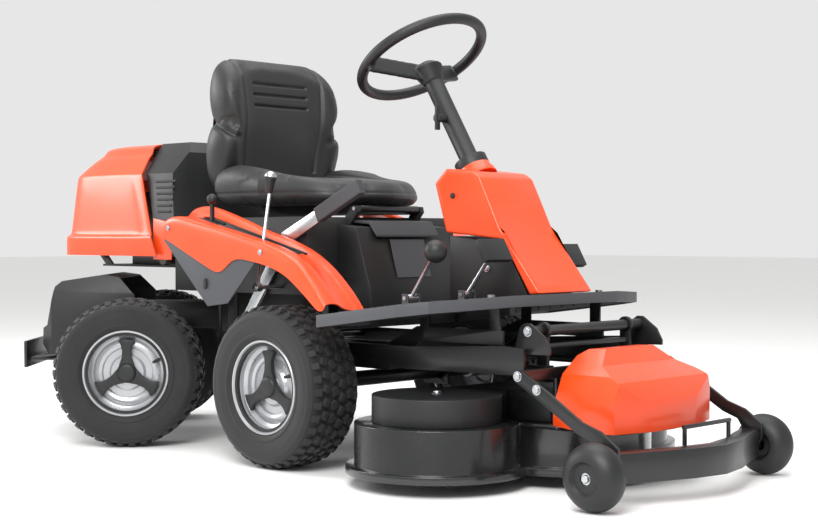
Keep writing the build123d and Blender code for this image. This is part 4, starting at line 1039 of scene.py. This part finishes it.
# ---- wings, cowl and floor ----------------------------------------------------------------------
@dataclass
class Wings:
    """Orange wings over the front wheels: thin mouldings with a tray for the levers on the right."""

    outer: float = 435.5
    wall_mm: float = 3.2
    slot_from: tuple[float, float] = (-205.0, 60.0)
    throttle_from: tuple[float, float] = (-318.0, -252.0)
    slot_band: tuple[float, float] = (-378.0, -344.0)

    def stations(self) -> list[tuple[float, float, float, float, float, float]]:
        """List outer edge place and height, low edge place and height, and inner edge place and height."""
        return [
            (-396, 600, -391, 563, -420, 630), (-386, 615, -380, 559, -410, 644), (-350, 620, -350, 548, -362, 650.5),
            (-318, 614, -318, 534, -318, 644), (-252, 600, -252, 506, -252, 626), (-205, 592, -205, 487, -205, 612),
            (-168, 585, -166, 473, -168, 600), (-137, 579, -135, 496, -137, 590), (-104, 572, -106, 516, -104, 580),
            (-47, 560, -50, 509, -47, 566), (0, 550, -2, 501, 0, 553), (60, 533, 48, 489, 60, 530),
            (108, 513, 90, 470, 104, 504), (136, 492, 112, 455, 132, 484), (165, 464, 142, 434, 164, 456),
            (192, 437, 172, 411, 192, 430), (216, 409, 199, 389, 222, 393),
        ]

    def wing(self, slots: bool) -> bpy.types.Object:
        """Skin the right wing from its low edge over its crown to its inner edge.

        Args:
            slots: whether the lever slots are cut.

        Returns:
            The wing.
        """
        rows = []
        for ox, oz, lx, lz, ix, iz in self.stations():
            section = [
                (self.outer, 0.0, lz, lx), (self.outer, 0.0, oz - 12, ox), (432.0, 0.0, oz - 1.5, ox),
                (422.0, 0.05, oz + 2.5, None), (390.0, 0.18, oz + 2.0, None), (378.0, 0.25, None, -6.0),
                (344.0, 0.60, None, -8.0), (333.0, 0.80, None, -1.0), (318.0, 1.0, iz, None), (304.0, 1.0, iz, None),
                (300.5, 1.0, iz - 14, None),
            ]
            row = []
            for y, share, z, extra in section:
                x = ox + (ix - ox) * share if (extra is None or z is None) else extra
                height = z if z is not None else oz + (iz - oz) * share + extra
                row.append((x, -y, height))
            rows.append(row)
        piece = skin("wing_right" if slots else "wing_left_pattern", rows)
        if slots:
            self.cut_slots(piece)
        subdivide(piece, 2)
        face_outwards(piece)
        if sum(face.normal.z * face.area for face in piece.data.polygons) < 0:
            piece.data.flip_normals()
        apply_modifier(piece, "SOLIDIFY", thickness=self.wall_mm * MM, offset=-1.0)
        return smooth(piece, 40)

    def cut_slots(self, piece: bpy.types.Object) -> None:
        """Take out the faces where the levers come through."""
        bpy.ops.object.mode_set(mode="EDIT")
        bpy.ops.mesh.select_all(action="DESELECT")
        bpy.ops.object.mode_set(mode="OBJECT")
        for face in piece.data.polygons:
            spot = (face.center - ORIGIN) / MM
            lever = self.slot_from[0] < spot.x < self.slot_from[1]
            throttle = self.throttle_from[0] < spot.x < self.throttle_from[1]
            face.select = self.slot_band[0] < spot.y < self.slot_band[1] and (lever or throttle)
        bpy.ops.object.mode_set(mode="EDIT")
        bpy.context.tool_settings.mesh_select_mode = (False, False, True)
        bpy.ops.mesh.delete(type="FACE")
        bpy.context.tool_settings.mesh_select_mode = (True, False, False)
        bpy.ops.object.mode_set(mode="OBJECT")

    def slot_lining(self) -> bpy.types.Object:
        """Mould the black brush lips that line both slots."""
        strips = []
        for number, (x_from, x_to, z_from, z_to) in enumerate(
            ((-206, 60, 596, 528), (-320, -250, 618, 602))
        ):
            for side, y in enumerate((-378, -351.5)):
                ends = [(x_from, z_from), (x_to, z_to), (x_to, z_to - 5), (x_from, z_from - 5)]
                strip = plate(f"slot_lip_{number}_{side}", ends, "y", y, y + 10)
                strips.append(strip)
        return round_edges(join("slot_lips", strips), 0.8)

    def build(self) -> None:
        """Make both wings, the slot lips and the skirts."""
        right = self.wing(True)
        pattern = self.wing(False)
        left = across(pattern, "wing_left")
        bpy.data.objects.remove(pattern)
        fit(right, "chassis", Paint.ORANGE, "fender_right", slot="orange_plastic")
        fit(left, "chassis", Paint.ORANGE, "fender_left", slot="orange_plastic")
        fit(self.slot_lining(), "chassis", Paint.BLACK, slot="black_plastic")
        fit(soften("fender_skirts", 1.5, "wing_skirts"), "chassis", Paint.GREY, "fender_skirts")
        grommet = rod("skirt_grommet", (-222, -437.5, 448), (-222, -431, 448), 11, 24)
        flatten = Matrix.Translation(at(-222, 0, 448)) @ Matrix.Diagonal((0.62, 1, 1.25, 1))
        grommet.data.transform(flatten @ Matrix.Translation(-at(-222, 0, 448)))
        fit(round_edges(grommet, 1.2), "chassis", Paint.TYRE)


@dataclass
class SteeringCowl:
    """Orange cowl round the steering column, with a collar at its top."""

    half_width: float = 103.5
    tilt: float = 31.4
    wall_mm: float = 3.0
    front_step: tuple[float, float] = (26.0, -3.0)
    side_step: tuple[float, float] = (16.0, -2.5)
    wheel_centre: tuple[float, float, float] = (125.0, 0.0, 1028.0)

    def down_column(self, distance: float) -> Vector:
        """Find the point on the column's axis at a distance below the steering wheel."""
        lean = math.radians(self.tilt)
        return Vector(self.wheel_centre) + Vector((math.sin(lean), 0, -math.cos(lean))) * distance

    def shell(self) -> bpy.types.Object:
        """Cut the cowl's side outline, round it and step its front."""
        outline = [
            (262, 700), (300, 735), (386, 725), (408, 711), (437, 655), (470, 590), (530, 515), (594, 436),
            (562, 432), (478, 562), (300, 578),
        ]
        piece = plate("cowl_orange_shell", outline, "y", -self.half_width, self.half_width)
        bpy.ops.object.mode_set(mode="EDIT")
        bpy.ops.mesh.select_all(action="DESELECT")
        bpy.ops.object.mode_set(mode="OBJECT")
        for face in piece.data.polygons:
            spot = (face.center - ORIGIN) / MM
            face.select = face.normal.x > 0.5 and spot.z < 640
        bpy.ops.object.mode_set(mode="EDIT")
        bpy.context.tool_settings.mesh_select_mode = (False, False, True)
        bpy.ops.mesh.inset(thickness=self.front_step[0] * MM, depth=self.front_step[1] * MM, use_boundary=True)
        bpy.ops.mesh.select_all(action="DESELECT")
        bpy.ops.object.mode_set(mode="OBJECT")
        for face in piece.data.polygons:
            face.select = abs(face.normal.y) > 0.9 and face.area > 0.01
        bpy.ops.object.mode_set(mode="EDIT")
        bpy.ops.mesh.inset(thickness=self.side_step[0] * MM, depth=self.side_step[1] * MM, use_individual=True)
        bpy.context.tool_settings.mesh_select_mode = (True, False, False)
        bpy.ops.object.mode_set(mode="OBJECT")
        round_edges(piece, 6.0, 3, 22)
        apply_modifier(piece, "SOLIDIFY", thickness=self.wall_mm * MM, offset=-1.0)
        return smooth(piece, 40)

    def collar(self) -> bpy.types.Object:
        """Turn the collar round the column."""
        low, high = self.down_column(372), self.down_column(330)
        axis = high - low
        profile = [(27, 2), (50, 2), (48, 14), (43, 24), (41, 40), (38, 44), (27, 44)]
        piece = spin("cowl_collar", profile, low, axis, 48, True)
        return smooth(piece, 40)

    def build(self) -> None:
        """Make the cowl, its collar and a dark disc of painted shade where the screw recess is."""
        fit(self.shell(), "chassis", Paint.ORANGE, "steering_cowl", slot="orange_plastic")
        fit(self.collar(), "chassis", Paint.ORANGE, slot="orange_plastic")
        # A dark disc in the tyre-rubber finish is laid where the screw recess is: its darkness is painted shade of the
        # hollow, which is not cut.
        recess = rod("cowl_screw_recess", (322, -105.2, 668), (322, -100, 668), 7, 24)
        fit(round_edges(recess, 1.0), "chassis", Paint.TYRE)


@dataclass
class Floor:
    """Moulded floor with its grey edge band, the black mat, the console and the pedal box."""

    slope: float = 0.124
    height: float = 360.0

    def top(self, x: float) -> float:
        """Give the floor's height at a place along the machine."""
        return self.height + self.slope * x

    def mat(self, side: int) -> bpy.types.Object:
        """Lay a ribbed rubber mat on one side of the column."""
        ribs = []
        for count in range(13):
            x = 232 + count * 21
            width = 405 if x < 440 else 405 - (x - 440) * 1.0
            y_low, y_high = sorted((side * 112, side * width))
            low, high = self.top(x) + 0.2, self.top(x) + 3.4
            ribs.append(block(f"mat_rib_{side}_{count}", (x, y_low, low), (x + 11, y_high, high)))
        return round_edges(join(f"foot_mat_{'left' if side > 0 else 'right'}", ribs), 1.0, 1)

    def ribs_below(self) -> bpy.types.Object:
        """Mould the stiffening ribs under the floor's front edge."""
        ribs = []
        for side in (-1, 1):
            for count in range(7):
                x = 260 + count * 38
                y_low, y_high = sorted((side * 215, side * (428 if x < 450 else 428 - (x - 450) * 0.9)))
                low, high = self.top(x) - 25, self.top(x) - 5
                ribs.append(block(f"floor_rib_{side}_{count}", (x, y_low, low), (x + 3, y_high, high)))
        return join("floor_ribs", ribs)

    def bolts_below(self) -> bpy.types.Object:
        """Screw the zinc bolts in under the floor."""
        heads = []
        places = ((250, 405), (330, 405), (410, 405), (470, 380), (520, 320), (556, 250))
        for count, (x, y) in enumerate((x, s * y) for s in (-1, 1) for x, y in places):
            heads.append(bolt(f"floor_bolt_{count}", (x, y, self.top(x) - 5.5), (0, 0, -1), 6.5, 7))
        return smooth(join("floor_bolts", heads))

    def build(self) -> None:
        """Make the floor's pieces."""
        plate_piece = soften("footplate", 1.4, "floor_moulding")
        fit(plate_piece, "chassis", Paint.GREY, "footplate", slot="black_plastic")
        for side in (-1, 1):
            fit(self.mat(side), "chassis", Paint.TYRE, slot="grip_rubber")
        fit(self.ribs_below(), "chassis", Paint.BLACK)
        fit(self.bolts_below(), "chassis", Paint.ZINC, slot="zinc_steel")
        fit(soften("floor_console", 1.6, "console_mouldings"), "chassis", Paint.BLACK, "floor_console")
        fit(soften("seat_plinth", 1.6, "seat_plinth_moulding"), "chassis", Paint.BLACK, "seat_plinth")
        cap = plate("console_cap", [(-11, 603), (48, 599), (76, 566), (76, 572), (52, 607), (-11, 611)], "y", -118, 118)
        fit(round_edges(cap, 3.0, 3), "chassis", Paint.GRIP)
        label = plate("console_plate", [(70, 560), (98, 462), (99.2, 462.4), (71.2, 560.4)], "y", -64, 64)
        fit(round_edges(label, 0.4, 1), "chassis", Paint.GREY)
        fit(bolt("pedal_box_bolt", (420, -88.6, 492), (0, -1, 0), 7, 6), "chassis", Paint.ZINC, slot="zinc_steel")


def melt(node: str, grain_mm: float, passes: int, name: str) -> bpy.types.Object:
    """Copy a CAD node and let its joins run into each other, as in a moulded or cast piece.

    Args:
        node: the CAD node to start from.
        grain_mm: the size of the new faces.
        passes: how often the surface is smoothed.
        name: the new piece's name.

    Returns:
        The new piece.
    """
    piece = soften(node, 0.2, name, 1)
    apply_modifier(piece, "REMESH", mode="VOXEL", voxel_size=grain_mm * MM, adaptivity=0.0, use_smooth_shade=True)
    apply_modifier(piece, "SMOOTH", factor=0.5, iterations=passes)
    return smooth(piece, 50)


def body_of_node(node: str) -> str:
    """Look up which body of the record a CAD node belongs to."""
    for body, members in frame["record"]["behaviour"]["bodies"].items():
        if node in members:
            return body
    raise KeyError(node)


def slot_of_node(node: str) -> str | None:
    """Look up the record's material slot of a CAD node."""
    for part in frame["record"]["subparts"]:
        if part.get("node") == node:
            return part.get("material_slot")
    return None


# What a few nodes are really made of, where the record's slot is too coarse.
OWN_FINISH = {
    "deck_shell": Paint.ENAMEL,
    "muffler": Paint.EXHAUST,
    "blade_centre": Paint.BLADE,
    "blade_left": Paint.BLADE,
    "blade_right": Paint.BLADE,
}


def finish_of_node(node: str) -> Finish:
    """Choose a CAD node's finish: its own, or the one for its slot in the record."""
    return OWN_FINISH.get(node) or SLOT_FINISH.get(slot_of_node(node) or "", Paint.STEEL)


@dataclass
class RoundedMetalwork:
    """Pressed, cast and moulded pieces whose shape is right and which only need their true edges."""

    radii: tuple[tuple[str, float, int], ...] = (
        ("weight_cover", 9.0, 3), ("tow_bar", 1.5, 2), ("counterweight", 5.0, 2), ("rear_frame", 1.0, 2),
        ("transaxle", 3.0, 2), ("seat_plate", 1.2, 2), ("hood_grille", 1.2, 1), ("lift_lever", 0.8, 2),
        ("height_lever", 0.6, 1), ("throttle_lever", 0.8, 2), ("forward_pedal", 1.2, 2), ("reverse_pedal", 0.8, 1),
        ("brake_pedal", 1.2, 2), ("tilt_knob", 1.0, 2), ("equipment_frame", 2.0, 2), ("service_arms", 1.5, 2),
        ("deck_carrier", 2.5, 3), ("bumper", 2.0, 2), ("deck_shell", 1.2, 2), ("belt_cover", 4.0, 3),
        ("deck_cover", 7.0, 3), ("column_tube", 1.0, 2), ("main_frame", 1.0, 1), ("front_axle", 1.5, 2),
        ("engine", 2.5, 2), ("fuel_tank", 8.0, 3), ("battery", 2.0, 2), ("engine_surround", 3.0, 3),
    )
    molten: tuple[tuple[str, float, int], ...] = (("steering_wheel", 2.6, 6), ("lift_grip", 1.6, 8))
    grips: tuple[tuple[str, Point, float], ...] = (
        ("reverse_pedal", (430, -282, 534), 30.0), ("forward_pedal", (508, -167, 536), 62.0),
        ("brake_pedal", (468, 168, 520), 62.0), ("height_lever", (-60, -360, 690), 32.0),
    )

    def build(self) -> None:
        """Round every listed node and melt the two grips."""
        for node, radius, steps in self.radii:
            piece = soften(node, radius, f"{node}_edged", steps)
            fit(piece, body_of_node(node), finish_of_node(node), node, slot=slot_of_node(node))
            for gripped, centre, reach_mm in self.grips:
                if gripped == node:
                    paint_near(piece, Paint.BLACK, centre, reach_mm)
        for node, grain_mm, passes in self.molten:
            piece = melt(node, grain_mm, passes, f"{node}_moulded")
            fit(piece, body_of_node(node), finish_of_node(node), node, slot=slot_of_node(node))


@dataclass
class GaugeWheel:
    """Small solid wheel at each front corner of the deck, with its hex bolt and bright washer."""

    centre: tuple[float, float, float] = (925.5, -341.0, 73.0)
    profile: tuple[tuple[float, float], ...] = (
        (13, -24), (26, -24), (30, -31), (36, -38), (48, -37), (58, -30), (64, -24), (68, -17), (71, -9), (72.6, 0),
        (71, 9), (68, 17), (62, 26), (48, 37), (36, 39), (30, 31), (13, 31),
    )

    def build(self) -> None:
        """Turn the wheel, bolt it and make the other side's."""
        x, y, z = self.centre
        mirrored = [(radius, -along) for radius, along in self.profile]
        wheel = smooth(spin("gauge_wheel_moulding", mirrored, self.centre, (0, 1, 0), 72, True), 40)
        fit(wheel, "gauge_right", Paint.BLACK, "gauge_wheel_right", slot=slot_of_node("gauge_wheel_right"))
        other = across(wheel, "gauge_wheel_moulding_left")
        fit(other, "gauge_left", Paint.BLACK, "gauge_wheel_left", slot=slot_of_node("gauge_wheel_left"))
        for side, body in ((-1, "gauge_right"), (1, "gauge_left")):
            washer = rod(f"gauge_washer_{body}", (x, side * (abs(y) + 24), z), (x, side * (abs(y) + 27), z), 15, 40)
            head = bolt(f"gauge_bolt_{body}", (x, side * (abs(y) + 27), z), (0, side, 0), 9.5, 6.5)
            hardware = smooth(join(f"gauge_hardware_{body}", [round_edges(washer, 0.5, 1), head]))
            fit(hardware, body, Paint.ZINC, slot="zinc_steel")


@dataclass
class Trimmings:
    """Orange apron under the air intake, the intake's slats, and the visible bolts."""

    def apron(self, side: int) -> bpy.types.Object:
        """Cut the orange apron beside the engine on one side."""
        outline = [(-638, 503), (-638, 618), (-591, 611), (-556, 606), (-556, 503)]
        low, high = sorted((side * 281.3, side * 284.0))
        return round_edges(plate(f"apron_{'left' if side > 0 else 'right'}", outline, "y", low, high), 1.0)

    def slats(self, side: int) -> bpy.types.Object:
        """Mould the intake's slats on one side."""
        bars = []
        for count in range(6):
            z = 634 + count * 17
            lean = 281 - (z - 600) * 0.221
            y_low, y_high = sorted((side * (lean - 3), side * (lean + 2.6)))
            bars.append(block(f"slat_{side}_{count}", (-628 - count * 7, y_low, z), (-572, y_high, z + 6)))
        return round_edges(join(f"intake_slats_{'left' if side > 0 else 'right'}", bars), 1.2, 1)

    def build(self) -> None:
        """Make the aprons, slats and bolts."""
        for side in (-1, 1):
            fit(self.apron(side), "chassis", Paint.ORANGE, slot="orange_plastic")
            fit(self.slats(side), "chassis", Paint.BLACK, slot="black_plastic")
        heads = [
            bolt(f"fender_screw_{s}_{n}", (x, s * 436.2, z), (0, s, 0), 6, 3.5)
            for s in (-1, 1)
            for n, (x, z) in enumerate(((-372, 590), (-8, 530)))
        ]
        fit(smooth(join("fender_screws", heads)), "chassis", Paint.ZINC, slot="zinc_steel")
        arms = [
            bolt(f"arm_bolt_{s}_{n}", (x, s * 292.4, z), (0, s, 0), 9, 6)
            for s in (-1, 1)
            for n, (x, z) in enumerate(((683, 262), (736, 236), (931, 112)))
        ]
        fit(smooth(join("carrier_bolts", arms)), "carrier", Paint.ZINC, slot="zinc_steel")
        pivots = [bolt(f"quadrant_bolt_{s}", (655, s * 222.6, 356), (0, s, 0), 9, 6) for s in (-1, 1)]
        fit(smooth(join("quadrant_bolts", pivots)), "lift_frame", Paint.ZINC, slot="zinc_steel")
        drums = [bolt(f"drum_bolt_{n}", (450, y, 208.2), (0, 0, 1), 10, 7) for n, y in enumerate((-300, 300))]
        fit(smooth(join("drum_bolts", drums)), "deck", Paint.ZINC, slot="zinc_steel")
        fit(bolt("lift_pivot_bolt", (-280, -292, 290), (0, -1, 0), 11, 7), "chassis", Paint.ZINC, slot="zinc_steel")


ASSEMBLIES = [
    RoadWheel(),
    DriverSeat(),
    EngineHood(),
    Wings(),
    SteeringCowl(),
    Floor(),
    RoundedMetalwork(),
    GaugeWheel(),
    Trimmings(),
]


@dataclass
class Studio:
    """Pale floor, soft lights and the camera."""

    eye: tuple[float, float, float] = (2758.1, -2833.5, 574.5)
    azimuth: float = 43.4008
    elevation: float = 1.1897
    lens: float = 65.84
    floor_half: float = 30000.0

    def floor(self) -> None:
        """Lay the floor just under the tyres."""
        clear_selection()
        bpy.ops.mesh.primitive_plane_add(size=2 * self.floor_half * MM, location=at(0, 0, -0.4))
        floor = settle("studio_floor")
        paint(floor, Paint.FLOOR)

    def lamp(self, name: str, place: Point, target: Point, size: float, power: float) -> None:
        """Hang one square soft light.

        Args:
            name: its name.
            place: where it hangs, in millimetres.
            target: what it points at, in millimetres.
            size: its side, in millimetres.
            power: watts.
        """
        clear_selection()
        spot = at(*place)
        turn = (at(*target) - spot).to_track_quat("-Z", "Y").to_euler()
        bpy.ops.object.light_add(type="AREA", location=spot, rotation=turn)
        light = bpy.context.object
        light.name = name
        light.data.size = size * MM
        light.data.energy = power

    def lights(self) -> None:
        """Light the scene as a plain product studio."""
        world = bpy.data.worlds.new("studio_air")
        bpy.context.scene.world = world
        world.use_nodes = True
        air = world.node_tree.nodes["Background"]
        air.inputs["Color"].default_value = srgb("FFFFFF")
        air.inputs["Strength"].default_value = 0.8
        self.lamp("key_light", (2200, -3400, 3600), (0, 0, 400), 2400, 235)
        self.lamp("top_light", (-300, 200, 4200), (-200, 0, 300), 3400, 120)
        self.lamp("rim_light", (-3200, -1800, 1900), (-500, 0, 500), 1500, 60)

    def camera(self) -> None:
        """Stand the camera level with the seat, off the right front corner."""
        a, e = math.radians(self.azimuth), math.radians(self.elevation)
        back = Vector((math.sin(a) * math.cos(e), -math.cos(a) * math.cos(e), math.sin(e)))
        clear_selection()
        bpy.ops.object.camera_add(location=at(*self.eye), rotation=back.to_track_quat("Z", "Y").to_euler())
        camera = bpy.context.object
        camera.name = "camera"
        camera.data.lens = self.lens
        camera.data.sensor_width = 36.0
        camera.data.clip_end = 100.0
        bpy.context.scene.camera = camera

    def build(self) -> None:
        """Set up the studio."""
        self.floor()
        self.lights()
        self.camera()
        scene = bpy.context.scene
        scene.view_settings.view_transform = "Standard"
        LOG.info("studio ready")


def dress_frame() -> None:
    """Give every CAD node its real material."""
    for name, node in frame["nodes"].items():
        paint(node, finish_of_node(name))


def main() -> None:
    """Build the machine's looks in order."""
    logging.basicConfig(level=logging.INFO, format="%(name)s: %(message)s")
    dress_frame()
    for assembly in ASSEMBLIES:
        assembly.build()
    Studio().build()


if __name__ == "__main__":
    main()
